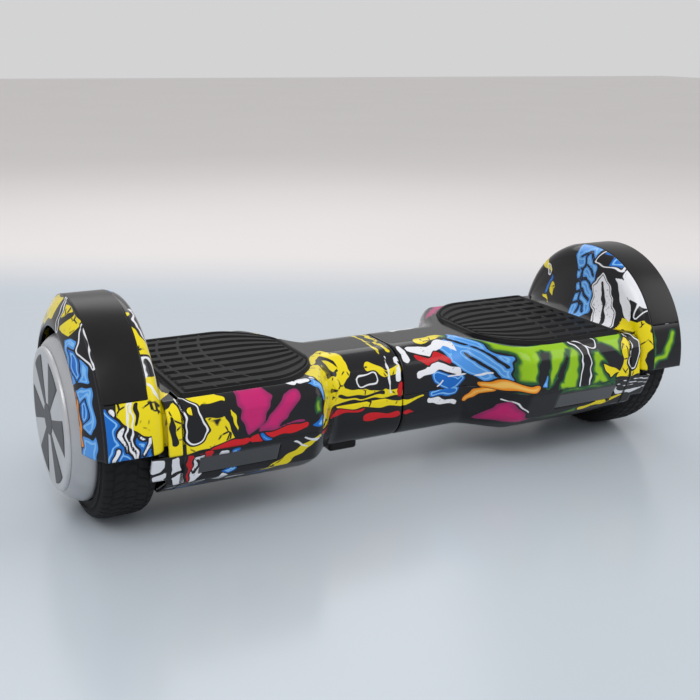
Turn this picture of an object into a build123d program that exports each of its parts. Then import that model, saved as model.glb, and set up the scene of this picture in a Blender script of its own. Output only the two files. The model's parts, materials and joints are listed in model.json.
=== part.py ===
from build123d import *
from math import cos, radians, sin
import os

# A self balancing board: two halves that twist on one cross shaft, each standing on a hub motor wheel.
# Millimetres. X runs along the board, the rider faces -Y, +Z is up, and the floor is z = 0 under the
# middle of the board. Every sided piece is built on the +X (right) side and mirrored for the left.

os.makedirs("parts", exist_ok=True)

# ---- Driving dimensions ------------------------------------------------------------------------
length = 584.0           # hub face to hub face
deck_width = 184.0       # widest line of the deck, at the parting of the shells
wheel_radius = 83.0      # tyre
tyre_width = 43.0
arch_gap = 12.0          # from the tyre to the crown of the wheel arch
deck_rise = 29.0         # axle up to the surface that the foot pad lies on
parting_drop = 10.0      # axle down to the joint between the upper and lower shells
belly_drop = 53.0        # axle down to the flat belly of the deck
twist_drop = 12.0        # axle down to the line that the two halves twist about
wall = 3.0               # moulded shells
twist_range = 10.0       # degrees each way
seam_gap = 1.0           # between the two halves at the waist
waist_width = 91.0
waist_drop = 54.0        # axle down to the underside of the waist
neck_start = 62.0        # the round waist ends here
neck_end = 105.0         # and the deck has its full width from here on
axle_radius = 8.0
shaft_radius = 14.0      # twist shaft
shaft_bore = 10.0
bush_wall = 3.0
boss_wall = 5.0
pad_thickness = 3.0
press_travel = 2.0       # how far a rider's foot moves a press plate
button_travel = 1.5
cap_swing = 120.0        # degrees that the charge cap opens

# ---- Clearances --------------------------------------------------------------------------------
touch = 0.05             # screws and pressed pieces in their holes
running = 0.05           # radial, shaft in bush and bearing on axle
gap = 0.3                # between pieces that lie against each other
slide_gap = 0.1          # button in its bezel

# ---- Places worked out from them ---------------------------------------------------------------
axle_z = wheel_radius
fender_radius = wheel_radius + arch_gap
deck_top = axle_z + deck_rise
parting_z = axle_z - parting_drop
bottom_z = axle_z - belly_drop
twist_z = axle_z - twist_drop
waist_bottom = axle_z - waist_drop
hub_face = length / 2
hub_depth = 21.0                          # the hub stands out this far past the tyre
tyre_out = hub_face - hub_depth
tyre_in = tyre_out - tyre_width
deck_end = tyre_in - 13.0
well_wall = deck_end - wall
half_deck = deck_width / 2
half_waist = waist_width / 2
axle_line = Axis((0, 0, axle_z), (1, 0, 0))
wheel_plane = Plane((0, 0, axle_z), x_dir=(1, 0, 0), z_dir=(0, -1, 0))


# ---- Small helpers -----------------------------------------------------------------------------
def block(x, y, z, mode=Mode.ADD):
    """A box between two limits on each axis."""
    spans = (x, y, z)
    with Locations(tuple(sum(span) / 2 for span in spans)):
        Box(*(abs(span[1] - span[0]) for span in spans), mode=mode)


def rod_x(x, radius, y=0.0, z=axle_z, mode=Mode.ADD):
    """A round bar along X."""
    with Locations(((x[0] + x[1]) / 2, y, z)):
        Cylinder(radius, x[1] - x[0], rotation=(0, 90, 0), mode=mode)


def rod_y(y, radius, x, z, mode=Mode.ADD):
    """A round bar along Y."""
    with Locations((x, (y[0] + y[1]) / 2, z)):
        Cylinder(radius, y[1] - y[0], rotation=(90, 0, 0), mode=mode)


def rod_z(z, radius, x, y, mode=Mode.ADD):
    """A round bar along Z."""
    with Locations((x, y, (z[0] + z[1]) / 2)):
        Cylinder(radius, z[1] - z[0], mode=mode)


def turned(points):
    """A closed outline of (x, radius) points, drawn beside the axle line."""
    with BuildSketch(wheel_plane) as outline:
        with BuildLine():
            Polyline(*points, close=True)
        make_face()
    return outline.sketch


def save(node, builder):
    """Label a finished piece and write its file."""
    builder.part.label = node
    export_step(builder.part, f"parts/{node}.step")


def save_left(node, builder):
    """Write the mirror image of a piece that was built on the right."""
    with BuildPart() as twin:
        mirror(builder.part, about=Plane.YZ)
    save(node, twin)


def save_pair(name, builder):
    """Write a piece for the right side and its mirror image for the left."""
    save("right_" + name, builder)
    save_left("left_" + name, builder)


# ---- Shell sections ----------------------------------------------------------------------------
# Each section is a closed outline across the board. share is 0 at the round waist and 1 on the deck.
corner_deck = 11.0       # rounding along the top edge of the deck
corner_waist = 31.0
lean_top = 2.0           # the side wall leans in this much up to the rounding
lean_deck = 12.0         # and this much on the way down
low_deck = bottom_z + 16     # where the side wall turns under
low_waist = twist_z - 11
belly_deck = half_deck - 38  # half width of the flat belly
belly_waist = 15.0
belly_fullness = 0.1         # the deck's lower edge is nearly a flat chamfer
neck_steps = 4


def mix(waist_value, deck_value, share):
    return waist_value + (deck_value - waist_value) * share


def stations(last_x):
    """(x, share) pairs along one half; the neck swells in an S curve."""
    places = [(0.0, 0.0), (neck_start, 0.0)]
    for step in range(1, neck_steps):
        part = step / neck_steps
        places.append((mix(neck_start, neck_end, part), part * part * (3 - 2 * part)))
    return places + [(neck_end, 1.0), (last_x, 1.0)]


def corner_point(start, end, fullness):
    """The middle of a corner from start to end: 0 is a straight chamfer, 1 is a quarter ellipse."""
    reach = 0.5 + fullness * (cos(radians(45)) - 0.5)
    return (end[0] + (start[0] - end[0]) * reach, start[1] + (end[1] - start[1]) * reach)


def section(x, half, side, edge, level, fullness=1.0):
    """Outline across the board: parting line, leaning side, rounded edge and a level middle."""
    turn = corner_point(side, edge, fullness)
    with BuildSketch(Plane.YZ.offset(x)) as outline:
        with BuildLine():
            Line((-half, level), (half, level))
            Line((half, level), side)
            ThreePointArc(side, turn, edge)
            Line(edge, (-edge[0], edge[1]))
            ThreePointArc((-edge[0], edge[1]), (-turn[0], turn[1]), (-side[0], side[1]))
            Line((-side[0], side[1]), (-half, level))
        make_face()
    return outline.sketch


def upper_section(x, share, inset, spare):
    half = mix(half_waist, half_deck, share) - inset
    top = deck_top - inset
    corner = mix(corner_waist, corner_deck, share) - inset
    side = (half - lean_top * share, top - corner)
    return section(x, half, side, (side[0] - corner, top), parting_z - spare)


def lower_section(x, share, inset, spare):
    half = mix(half_waist, half_deck, share) - inset
    bottom = mix(waist_bottom, bottom_z, share) + inset
    side = (half - lean_deck * share, mix(low_waist, low_deck, share) + inset / 2)
    edge = (mix(belly_waist, belly_deck, share) - inset / 2, bottom)
    return section(x, half, side, edge, parting_z + spare, mix(1.0, belly_fullness, share))


def hull(make_section, inset, last_x, spare=0.0):
    """The ruled body through all sections of one half."""
    return [make_section(x, share, inset, spare) for x, share in stations(last_x)]


# ---- Screw, post and opening places, right side --------------------------------------------------
press_x = (96.0, deck_end - 17)      # opening under the foot pad
press_y = half_deck - 26
outer_screw_x = deck_end - 10
deck_screws = [(88.0, -28.0), (88.0, 28.0), (outer_screw_x, -52.0), (outer_screw_x, 52.0)]
belly_screws = [(86.0, -36.0), (86.0, 36.0), (outer_screw_x - 3, -46.0), (outer_screw_x - 3, 46.0)]
screw_shank = 2.0
screw_head = 3.5
head_height = 1.8
post_radius = 5.5
axle_hole = 12.0
lens_x = (135.0, 201.0)
lens_z = (parting_z - 21, parting_z - 5)
band_x = (tyre_in, tyre_out - 1.0)
band_angle = 22.0                # above the horizontal, front and back
band_thickness = 1.6
shell_cut_z = axle_z - 5         # lower edge of the wheel arch
skirt_x = hub_face - 8.0
skirt_radius = fender_radius - 23
chassis_z = axle_z + 1
chassis_thickness = 4.0
chassis_top = chassis_z + chassis_thickness

# ---- Upper shell: deck cover and wheel arch in one moulding --------------------------------------
flank_radius = 40.0              # the flank of the arch leaves the end wall here
crown_wall = 3.4
collar_end = tyre_in - wall      # the deck walls run on this far, towards the tyre
arch_points = [
    (well_wall, 0),
    (deck_end, 0),
    (deck_end, flank_radius - 2),
    (tyre_in + 1.5, fender_radius - crown_wall),
    (tyre_out - 2.2, fender_radius - crown_wall),
    (skirt_x - wall, skirt_radius),
    (skirt_x, skirt_radius),
    (tyre_out - 1, fender_radius),
    (tyre_in, fender_radius),
    (well_wall + 1, flank_radius),
    (well_wall, flank_radius),
]

arch_y = (-fender_radius - 1, fender_radius + 1)

with BuildPart() as wheel_arch:
    revolve(turned(arch_points), axis=axle_line)
    block((0, hub_face), arch_y, (-fender_radius, shell_cut_z), Mode.SUBTRACT)

with BuildPart() as upper_shell:
    loft(hull(upper_section, 0, collar_end), ruled=True)
    loft(hull(upper_section, wall, well_wall, 1.0), ruled=True, mode=Mode.SUBTRACT)
    loft([upper_section(x, 1.0, wall, 1.0) for x in (deck_end, collar_end + 1)], mode=Mode.SUBTRACT)
    add(wheel_arch.part)
    block((-1, seam_gap / 2), (-half_deck, half_deck), (0, deck_top + 1), Mode.SUBTRACT)
    block(press_x, (-press_y, press_y), (deck_top - wall - 1, deck_top + 1), Mode.SUBTRACT)
    rod_x((well_wall - 1, deck_end + 1), axle_hole, mode=Mode.SUBTRACT)
    for x, y in deck_screws:
        rod_z((deck_top - wall - 1, deck_top + 1), screw_shank + touch, x, y, Mode.SUBTRACT)
        rod_z((deck_top - head_height, deck_top + 1), screw_head + touch, x, y, Mode.SUBTRACT)

# ---- Fender band: the soft strip let into the crown of the wheel arch ----------------------------
groove_points = [
    (band_x[0], fender_radius - band_thickness),
    (band_x[1], fender_radius - band_thickness),
    (band_x[1], fender_radius),
    (band_x[0], fender_radius),
]
band_foot = axle_z + (fender_radius - band_thickness / 2) * sin(radians(band_angle))

with BuildPart() as fender_band:
    revolve(turned(groove_points), axis=axle_line)
    block((0, hub_face), arch_y, (-fender_radius, band_foot), Mode.SUBTRACT)

with BuildPart() as grooved_shell:
    add(upper_shell.part)
    add(fender_band.part, mode=Mode.SUBTRACT)

save_pair("upper_shell", grooved_shell)
save_pair("fender_band", fender_band)

# ---- Lower shell: belly tub, with screw posts and a lamp window ----------------------------------
with BuildPart() as tub:
    loft(hull(lower_section, 0, deck_end), ruled=True)
    block((-1, seam_gap / 2), (-half_deck, half_deck), (0, parting_z + 1), Mode.SUBTRACT)

with BuildPart() as tub_wall:
    add(tub.part)
    loft(hull(lower_section, wall, well_wall, 1.0), ruled=True, mode=Mode.SUBTRACT)

with BuildPart() as tub_posts:
    for x, y in belly_screws:
        rod_z((bottom_z - 1, parting_z), post_radius, x, y)
    add(tub.part, mode=Mode.INTERSECT)
    for x, y in belly_screws:
        rod_z((parting_z - wall, chassis_z), post_radius, x, y)

lamp_ledge_y = (lean_deck - half_deck - 0.5, 22 - half_deck)
lamp_board_z = lens_z[0]

with BuildPart() as lower_shell:
    add(tub_wall.part)
    add(tub_posts.part)
    block(lens_x, (-half_deck - 1, -half_deck + 2 * lean_deck), lens_z, Mode.SUBTRACT)
    block(lens_x, lamp_ledge_y, (lamp_board_z - wall, lamp_board_z))
    rod_x((well_wall - 1, deck_end + 1), axle_hole, mode=Mode.SUBTRACT)
    for x, y in belly_screws:
        rod_z((bottom_z - 2, parting_z), screw_head + gap, x, y, Mode.SUBTRACT)
        rod_z((parting_z - 1, chassis_z + 1), screw_shank + touch, x, y, Mode.SUBTRACT)

# Right half: four posts for the main board.
board_x = (100.0, 190.0)
board_y = 40.0
board_z = bottom_z + 18
board_thickness = 1.6
board_posts = [(x, y) for x in (110.0, 182.0) for y in (-33.0, 33.0)]

with BuildPart() as right_lower_shell:
    add(lower_shell.part)
    for x, y in board_posts:
        rod_z((bottom_z + wall / 2, board_z), 4.0, x, y)
save("right_lower_shell", right_lower_shell)

# Left half, still drawn on the right: battery ribs, a flat port panel and the deeper belly block.
battery_x = (96.0, 190.0)
battery_z = (bottom_z + 12.5, axle_z - 1)
battery_y = 67.0
rib_x = (106.0, 143.0, 180.0)
port_z = twist_z - 13
socket_x = 34.0
switch_x = 52.0
panel_face = half_waist + 1
panel_x = (22.0, 63.0)
block_x = (33.0, 60.0)
block_drop = 7.0

with BuildPart() as belly_block:
    block(block_x, (-24, 24), (bottom_z - block_drop, bottom_z + 1))
    chamfer(belly_block.edges().group_by(Axis.Z)[0], block_drop / 2)

with BuildPart() as left_lower_shell:
    add(lower_shell.part)
    for x in rib_x:
        block((x - wall / 2, x + wall / 2), (-battery_y + 17, battery_y - 17), (bottom_z + wall / 2, battery_z[0]))
    block(panel_x, (half_waist - wall - 3, panel_face), (port_z - 12, port_z + 12))
    add(belly_block.part)
    rod_y((panel_face - 17, panel_face + 1), 6.0 + touch, socket_x, port_z, Mode.SUBTRACT)
    rod_y((panel_face - 17, panel_face + 1), 8.0 + touch, switch_x, port_z, Mode.SUBTRACT)
save_left("left_lower_shell", left_lower_shell)

# ---- Lamp lens: the piece of the tub's own wall that fills the window -----------------------------
with BuildPart() as led_lens:
    add(tub_wall.part)
    with Locations((sum(lens_x) / 2, -half_deck + lean_deck, sum(lens_z) / 2)):
        Box(
            lens_x[1] - lens_x[0] - 2 * slide_gap,
            2 * lean_deck,
            lens_z[1] - lens_z[0] - 2 * slide_gap,
            mode=Mode.INTERSECT,
        )
save_pair("led_lens", led_lens)

# ---- Lamp strip: a small board standing on the ledge behind the lens, with six lamps --------------
led_count = 6
strip_y = 18 - half_deck
strip_x = (lens_x[0] + 2, lens_x[1] - 2)
strip_z = (lamp_board_z, lens_z[1] - 3)

with BuildPart() as led_strip:
    block(strip_x, (strip_y - board_thickness, strip_y), strip_z)
    led_pitch = (strip_x[1] - strip_x[0]) / led_count
    for number in range(led_count):
        x = strip_x[0] + (number + 0.5) * led_pitch
        block((x - 2.5, x + 2.5), (strip_y - 3.2, strip_y - board_thickness), (strip_z[0] + 3, strip_z[0] + 8))
save_pair("led_strip", led_strip)

# ---- Chassis: cast frame with the twist boss at the waist and the axle seat at the wheel ----------
boss_bore = shaft_radius + bush_wall
boss_radius = boss_bore + boss_wall
boss_x = (6.0, 70.0)
seat_x = (deck_end - 23, well_wall - gap)
seat_y = 20.0
seat_top = axle_z + 18.0
clamp_bottom = axle_z - 17.0
clamp_split = 0.2
clamp_screws_at = [(x, y) for x in (seat_x[0] + 5, seat_x[1] - 5) for y in (-14.0, 14.0)]
clamp_shank = 2.5
nut_x = (boss_x[1] + gap, boss_x[1] + 7.0)
nut_radius = shaft_radius + 5
sensor_x = (112.0, 144.0)
sensor_y = 48.0
sensor_z = chassis_top + 2.0
deck_under = deck_top - wall
frame_outline = [
    (16, -20),
    (60, -36),
    (neck_end, -press_y),
    (well_wall - gap, -press_y),
    (well_wall - gap, press_y),
    (neck_end, press_y),
    (60, 36),
    (16, 20),
]

with BuildPart() as chassis:
    with BuildSketch(Plane.XY.offset(chassis_z)):
        with BuildLine():
            Polyline(*frame_outline, close=True)
        make_face()
    extrude(amount=chassis_thickness)
    for side in (-1, 1):
        rib = sorted((side * (press_y - wall), side * press_y))
        block((neck_end, well_wall - gap), rib, (chassis_top, chassis_top + 10))
    block((nut_x[0] - gap, nut_x[1] + 4), (-nut_radius - 3, nut_radius + 3), (0, deck_top), Mode.SUBTRACT)
    rod_x(boss_x, boss_radius, z=twist_z)
    block(seat_x, (-seat_y, seat_y), (axle_z, seat_top))
    rod_x((seat_x[0] - 1, seat_x[1] + 1), axle_radius, mode=Mode.SUBTRACT)
    for x, y in deck_screws:
        rod_z((chassis_top - 1, deck_under), 5.0, x, y)
        rod_z((chassis_top, deck_under + 1), screw_shank + touch, x, y, Mode.SUBTRACT)
    for x in (sensor_x[0] + 4, sensor_x[1] - 4):
        for y in (-sensor_y + 4, sensor_y - 4):
            rod_z((chassis_top - 1, sensor_z), 3.0, x, y)
    for x, y in belly_screws:
        rod_z((chassis_z - 1, chassis_top + 1), screw_shank + touch, x, y, Mode.SUBTRACT)
    for x, y in clamp_screws_at:
        rod_z((axle_z - 1, seat_top - 4), clamp_shank + touch, x, y, Mode.SUBTRACT)

# The shaft is pressed into the left boss. In the right boss it turns in two bushes, and the stop pin
# swings in a slot in the boss.
pin_x = 38.0
pin_radius = 3.0
pin_top = twist_z + boss_radius + 0.5
slot_half = (boss_radius + 0.5) * sin(radians(twist_range)) + pin_radius + gap

with BuildPart() as left_chassis:
    add(chassis.part)
    rod_x((boss_x[0] - 1, boss_x[1] + 1), shaft_radius + touch / 5, z=twist_z, mode=Mode.SUBTRACT)
save_left("left_chassis", left_chassis)

with BuildPart() as right_chassis:
    add(chassis.part)
    rod_x((boss_x[0] - 1, boss_x[1] + 1), boss_bore, z=twist_z, mode=Mode.SUBTRACT)
    block((pin_x - pin_radius - gap, pin_x + pin_radius + gap), (-slot_half, slot_half),
          (twist_z + shaft_radius, deck_under), Mode.SUBTRACT)
save("right_chassis", right_chassis)

# ---- Twist shaft, bushes, lock nut and stop pin ---------------------------------------------------
shaft_end = nut_x[1] + 1.0
bush_length = 16.0

with BuildPart() as pivot_shaft:
    rod_x((-boss_x[1], shaft_end), shaft_radius, z=twist_z)
    rod_x((-boss_x[1] - 1, shaft_end + 1), shaft_bore, z=twist_z, mode=Mode.SUBTRACT)
    rod_z((twist_z, twist_z + shaft_radius + 1), pin_radius, pin_x, 0, Mode.SUBTRACT)
save("pivot_shaft", pivot_shaft)

with BuildPart() as pivot_bushes:
    for start in (boss_x[0], boss_x[1] - bush_length):
        rod_x((start, start + bush_length), boss_bore, z=twist_z)
        rod_x((start - 1, start + bush_length + 1), shaft_radius + running, z=twist_z, mode=Mode.SUBTRACT)
save("pivot_bushes", pivot_bushes)

with BuildPart() as pivot_nut:
    with BuildSketch(Plane.YZ.offset(nut_x[0])):
        with Locations((0, twist_z)):
            RegularPolygon(nut_radius, 6)
            Circle(shaft_radius + touch / 5, mode=Mode.SUBTRACT)
    extrude(amount=nut_x[1] - nut_x[0])
save("pivot_nut", pivot_nut)

with BuildPart() as stop_pin:
    rod_z((twist_z + shaft_bore, pin_top), pin_radius - touch / 5, pin_x, 0)
save("stop_pin", stop_pin)

# The loom lies in the hollow shaft and joins the electronics of the two halves.
with BuildPart() as centre_loom:
    rod_x((-boss_x[1] - 12, shaft_end + 10), shaft_bore - gap, z=twist_z)
    fillet(centre_loom.edges(), 2.0)
save("centre_loom", centre_loom)

# ---- Axle seat clamp and its screws ---------------------------------------------------------------
with BuildPart() as axle_clamp:
    block(seat_x, (-seat_y, seat_y), (clamp_bottom, axle_z - clamp_split))
    rod_x((seat_x[0] - 1, seat_x[1] + 1), axle_radius, mode=Mode.SUBTRACT)
    for x, y in clamp_screws_at:
        rod_z((clamp_bottom - 1, axle_z), clamp_shank + touch, x, y, Mode.SUBTRACT)
    chamfer(axle_clamp.edges().filter_by(Axis.X).group_by(Axis.Z)[0], 3.0)
save_pair("axle_clamp", axle_clamp)

with BuildPart() as clamp_screws:
    for x, y in clamp_screws_at:
        rod_z((clamp_bottom, seat_top - 5), clamp_shank, x, y)
        rod_z((clamp_bottom - 4, clamp_bottom), 4.0, x, y)
save_pair("clamp_screws", clamp_screws)

# ---- Axle: plain ends, a thicker middle for the stator, and a hole for the motor leads ------------
stator_x = (tyre_in + 10.5, tyre_out - 8.5)
outer_bearing_x = (tyre_out - 1, tyre_out + 7)
inner_bearing_x = (tyre_in + 1.5, tyre_in + 9.5)
cover_back = tyre_out - 1.0
stator_seat = axle_radius + 2.0

with BuildPart() as axle:
    rod_x((seat_x[0] + 0.5, outer_bearing_x[1] + 1), axle_radius)
    rod_x(stator_x, stator_seat)
    rod_x((seat_x[0], inner_bearing_x[0]), 3.5, mode=Mode.SUBTRACT)
save_pair("axle", axle)

# ---- Stator: toothed core and one coil on each tooth ----------------------------------------------
teeth = 27
tooth_width = 3.2
core_radius = 36.0
stator_radius = 48.0
coil_radii = (37.5, 46.5)
coil_width = 7.6
coil_over = 3.5
stator_middle = sum(stator_x) / 2
stator_plane = Plane((stator_middle, 0, axle_z), x_dir=(0, 1, 0), z_dir=(1, 0, 0))
stator_depth = stator_x[1] - stator_x[0]

with BuildPart() as stator_core:
    with BuildSketch(stator_plane):
        Circle(core_radius)
        with PolarLocations((core_radius + stator_radius) / 2, teeth):
            Rectangle(stator_radius - core_radius + 1, tooth_width)
        Circle(stator_seat, mode=Mode.SUBTRACT)
        with PolarLocations((core_radius + stator_seat) / 2, 6):
            Circle(6.0, mode=Mode.SUBTRACT)
    extrude(amount=stator_depth / 2, both=True)
save_pair("stator_core", stator_core)

with BuildPart() as stator_coils:
    with PolarLocations(sum(coil_radii) / 2, teeth):
        Box(coil_radii[1] - coil_radii[0], coil_width, stator_depth + 2 * coil_over)
    with PolarLocations(sum(coil_radii) / 2, teeth):
        Box(coil_radii[1], tooth_width + 2 * touch, stator_depth + 2 * touch, mode=Mode.SUBTRACT)

with BuildPart() as stator_windings:
    add(stator_coils.part.moved(Location(stator_plane)))
save_pair("stator_windings", stator_windings)

# ---- Rotor: steel cup, magnets, silver cover, bearings and tyre -----------------------------------
rim_radius = wheel_radius - 17
cup_bore = 53.0          # set by the motor, whatever the tyre
inner_bearing_radius = 15.0
outer_bearing_radius = 14.0
cup_points = [
    (tyre_in + 1, inner_bearing_radius),
    (tyre_in + 1, rim_radius),
    (cover_back, rim_radius),
    (cover_back, cup_bore),
    (tyre_in + 5, cup_bore),
    (tyre_in + 5, 20),
    (inner_bearing_x[1], 20),
    (inner_bearing_x[1], inner_bearing_radius),
]

with BuildPart() as wheel_rim:
    revolve(turned(cup_points), axis=axle_line)
save_pair("wheel_rim", wheel_rim)

magnets = 30
magnet_size = (2.5, 9.6)
magnet_middle = cup_bore - 1.55

with BuildPart() as magnet_ring:
    with PolarLocations(magnet_middle, magnets):
        Box(*magnet_size, stator_depth)

with BuildPart() as rotor_magnets:
    add(magnet_ring.part.moved(Location(stator_plane)))
save_pair("rotor_magnets", rotor_magnets)

cap_radius = rim_radius - 9.5
cap_thickness = 3.0
spoke_height = 1.0
cover_face = hub_face - cap_thickness - spoke_height
cover_radius = rim_radius + 1
casting = 5.0            # the cover is a dish of about this thickness with a bearing seat in it
cover_points = [
    (cover_back, cup_bore + 2),
    (cover_back, cover_radius),
    (tyre_out + 5, rim_radius + 0.5),
    (tyre_out + 12, rim_radius - 3.5),
    (cover_face, cap_radius + 1.2),
    (cover_face, 0),
    (outer_bearing_x[1] + 2, 0),
    (outer_bearing_x[1] + 2, outer_bearing_radius - 2),
    (outer_bearing_x[1], outer_bearing_radius - 2),
    (outer_bearing_x[1], outer_bearing_radius),
    (outer_bearing_x[0], outer_bearing_radius),
    (outer_bearing_x[0], outer_bearing_radius + casting),
    (cover_face - casting, outer_bearing_radius + casting + 2),
    (cover_face - casting, cap_radius - casting),
    (tyre_out + 9, rim_radius - 3.5 - casting),
    (tyre_out + 4, cup_bore + 2),
]

with BuildPart() as motor_cover:
    revolve(turned(cover_points), axis=axle_line)
save_pair("motor_cover", motor_cover)

with BuildPart() as hub_cap:
    rod_x((cover_face, cover_face + cap_thickness), cap_radius)
    fillet(hub_cap.edges().filter_by(GeomType.CIRCLE).sort_by(Axis.X)[-1], 1.2)
save_pair("hub_cap", hub_cap)

# Six blades, narrow at the middle and wide at the rim, joined by a small disc.
arms = 6
arm_reach = cap_radius - 4.5
arm_half_angle = 15.0
arm_root = 13.0

with BuildPart() as hub_spokes:
    with BuildSketch(Plane.YZ.offset(hub_face - spoke_height)):
        with Locations((0, axle_z)):
            Circle(arm_root + 1)
            with PolarLocations(0, arms):
                with BuildLine(mode=Mode.PRIVATE) as blade:
                    tip = arm_reach * sin(radians(arm_half_angle))
                    rim = arm_reach * cos(radians(arm_half_angle))
                    Line((arm_root * 0.8, -2.2), (rim, -tip))
                    ThreePointArc((rim, -tip), (arm_reach, 0), (rim, tip))
                    Line((rim, tip), (arm_root * 0.8, 2.2))
                    Line((arm_root * 0.8, 2.2), (arm_root * 0.8, -2.2))
                add(make_face(blade.edges(), mode=Mode.PRIVATE))
    extrude(amount=spoke_height)
save_pair("hub_spokes", hub_spokes)

shield = 0.6


def bearing_points(x, outer):
    """Outline of a shielded ball bearing: two rings with a recessed shield between them."""
    inner = axle_radius + running
    low = inner + 2
    high = outer - 2
    return [
        (x[0], inner), (x[1], inner), (x[1], low), (x[1] - shield, low), (x[1] - shield, high),
        (x[1], high), (x[1], outer), (x[0], outer), (x[0], high), (x[0] + shield, high),
        (x[0] + shield, low), (x[0], low),
    ]


with BuildPart() as wheel_bearings:
    revolve(turned(bearing_points(inner_bearing_x, inner_bearing_radius)), axis=axle_line)
    revolve(turned(bearing_points(outer_bearing_x, outer_bearing_radius)), axis=axle_line)
save_pair("wheel_bearings", wheel_bearings)

shoulder = 9.0

with BuildPart() as tyre:
    with BuildSketch(wheel_plane) as tyre_section:
        with Locations(((tyre_in + tyre_out) / 2, (rim_radius + wheel_radius) / 2)):
            Rectangle(tyre_width, wheel_radius - rim_radius)
        fillet(tyre_section.vertices().group_by(Axis.Y)[-1], shoulder)
    revolve(tyre_section.sketch, axis=axle_line)
    rod_x((cover_back, tyre_out + 1), cover_radius + touch, mode=Mode.SUBTRACT)
save_pair("tyre", tyre)

# ---- Foot pad: ribbed rubber mat on the deck ------------------------------------------------------
pad_x = (80.0, well_wall)
pad_half = half_deck - 13
pad_nose_half = 42.0
pad_full_x = 128.0
rib_count = 10
rib_rise = 0.8
pad_outline = [
    (pad_x[0], -pad_nose_half),
    (pad_x[0], pad_nose_half),
    (pad_full_x, pad_half),
    (pad_x[1], pad_half),
    (pad_x[1], -pad_half),
    (pad_full_x, -pad_half),
]

with BuildPart() as footpad:
    with BuildSketch(Plane.XY.offset(deck_top)) as mat:
        with BuildLine():
            Polyline(*pad_outline, close=True)
        make_face()
        fillet(mat.vertices(), 14.0)
    extrude(amount=pad_thickness - rib_rise)
    with BuildSketch(Plane.XY.offset(deck_top + pad_thickness - rib_rise)) as ribs:
        add(mat.sketch.faces()[0].moved(Location((0, 0, -deck_top))))
        offset(amount=-7.0, mode=Mode.REPLACE)
    with BuildSketch(Plane.XY.offset(deck_top + pad_thickness - rib_rise)) as bars:
        with GridLocations(1, 2 * (pad_half - 8) / rib_count, 1, rib_count):
            Rectangle(4 * pad_x[1], 8.0)
    extrude((ribs.sketch & bars.sketch).faces(), amount=rib_rise)
save_pair("footpad", footpad)

# ---- Press plates: the toe and heel halves under the pad, each with a plunger over a switch -------
plate_z = (deck_under - gap, deck_top - gap)
plunger_x = sum(sensor_x) / 2
plunger_y = 36.0
plunger_foot = sensor_z + board_thickness + 1.4 + press_travel + 0.5

with BuildPart() as heel_press_plate:
    block((press_x[0] + gap, press_x[1] - gap), (1.0, press_y - gap), plate_z)
    rod_z((plunger_foot, plate_z[0]), 5.0, plunger_x, plunger_y)
save_pair("heel_press_plate", heel_press_plate)

with BuildPart() as toe_press_plate:
    mirror(heel_press_plate.part, about=Plane.XZ)
save_pair("toe_press_plate", toe_press_plate)

# ---- Sensor board under the plates ----------------------------------------------------------------
with BuildPart() as sensor_board:
    block(sensor_x, (-sensor_y, sensor_y), (sensor_z, sensor_z + board_thickness))
    for y in (-plunger_y, plunger_y):
        block((plunger_x - 6, plunger_x + 6), (y - 6, y + 6), (sensor_z, sensor_z + board_thickness + 1.4))
    block((plunger_x - 5, plunger_x + 5), (-5, 5), (sensor_z, sensor_z + board_thickness + 1.2))
save_pair("sensor_board", sensor_board)

# ---- Shell screws: four in the deck under the pad, four up through the belly ----------------------
with BuildPart() as shell_screws:
    for x, y in deck_screws:
        rod_z((chassis_top + 2, deck_top - head_height), screw_shank, x, y)
        rod_z((deck_top - head_height, deck_top - 0.1), screw_head, x, y)
    for x, y in belly_screws:
        rod_z((parting_z - head_height - 1, parting_z - 1), screw_head, x, y)
        rod_z((parting_z - 1, chassis_top), screw_shank, x, y)
save_pair("shell_screws", shell_screws)

# ---- Battery in the left tub: sleeve and twenty cells in two lanes --------------------------------
cell_radius = 9.1
cell_length = 65.0
cell_pitch = 18.4
sleeve_wall = 0.8

with BuildPart() as battery_case:
    block(battery_x, (-battery_y, battery_y), battery_z)
    chamfer(battery_case.edges().filter_by(Axis.X).group_by(Axis.Z)[0], 4.0)
    fillet(battery_case.edges().filter_by(Axis.Z), 3.0)

cells_x = battery_x[0] + (battery_x[1] - battery_x[0]) / 2
cells_z = sum(battery_z) / 2 + 0.2
cell_room = (5 * cell_pitch + 0.2, 2 * cell_length + 1.2, 2 * cell_pitch + 0.2)

with BuildPart() as left_battery_case:
    add(battery_case.part)
    with Locations((cells_x, 0, cells_z)):
        Box(*cell_room, mode=Mode.SUBTRACT)
save_left("battery_case", left_battery_case)

with BuildPart() as battery_cells:
    with GridLocations(cell_pitch, cell_length + 0.6, 5, 2):
        with Locations((cells_x, 0, cells_z - cell_pitch / 2), (cells_x, 0, cells_z + cell_pitch / 2)):
            Cylinder(cell_radius, cell_length, rotation=(90, 0, 0))
save_left("battery_cells", battery_cells)

# ---- Main board and heat sink in the right tub ----------------------------------------------------
with BuildPart() as main_board:
    block(board_x, (-board_y, board_y), (board_z, board_z + board_thickness))
    top = board_z + board_thickness
    for x in (112.0, 126.0):
        rod_z((top - 0.5, top + 18), 5.0, x, -26)
    for y in (-6.0, 6.0, 18.0, 30.0):
        block((176, 188), (y - 4, y + 4), (top - 0.5, top + 8))
    block((134, 150), (-8, 8), (top - 0.5, top + 1.6))
save("main_board", main_board)

with BuildPart() as heat_sink:
    block((118, 174), (-24, 24), (bottom_z + wall + gap, board_z))
    for y in (-18.0, -6.0, 6.0, 18.0):
        block((117, 175), (y - 2, y + 2), (bottom_z + wall, board_z - 4), Mode.SUBTRACT)
save("heat_sink", heat_sink)

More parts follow.
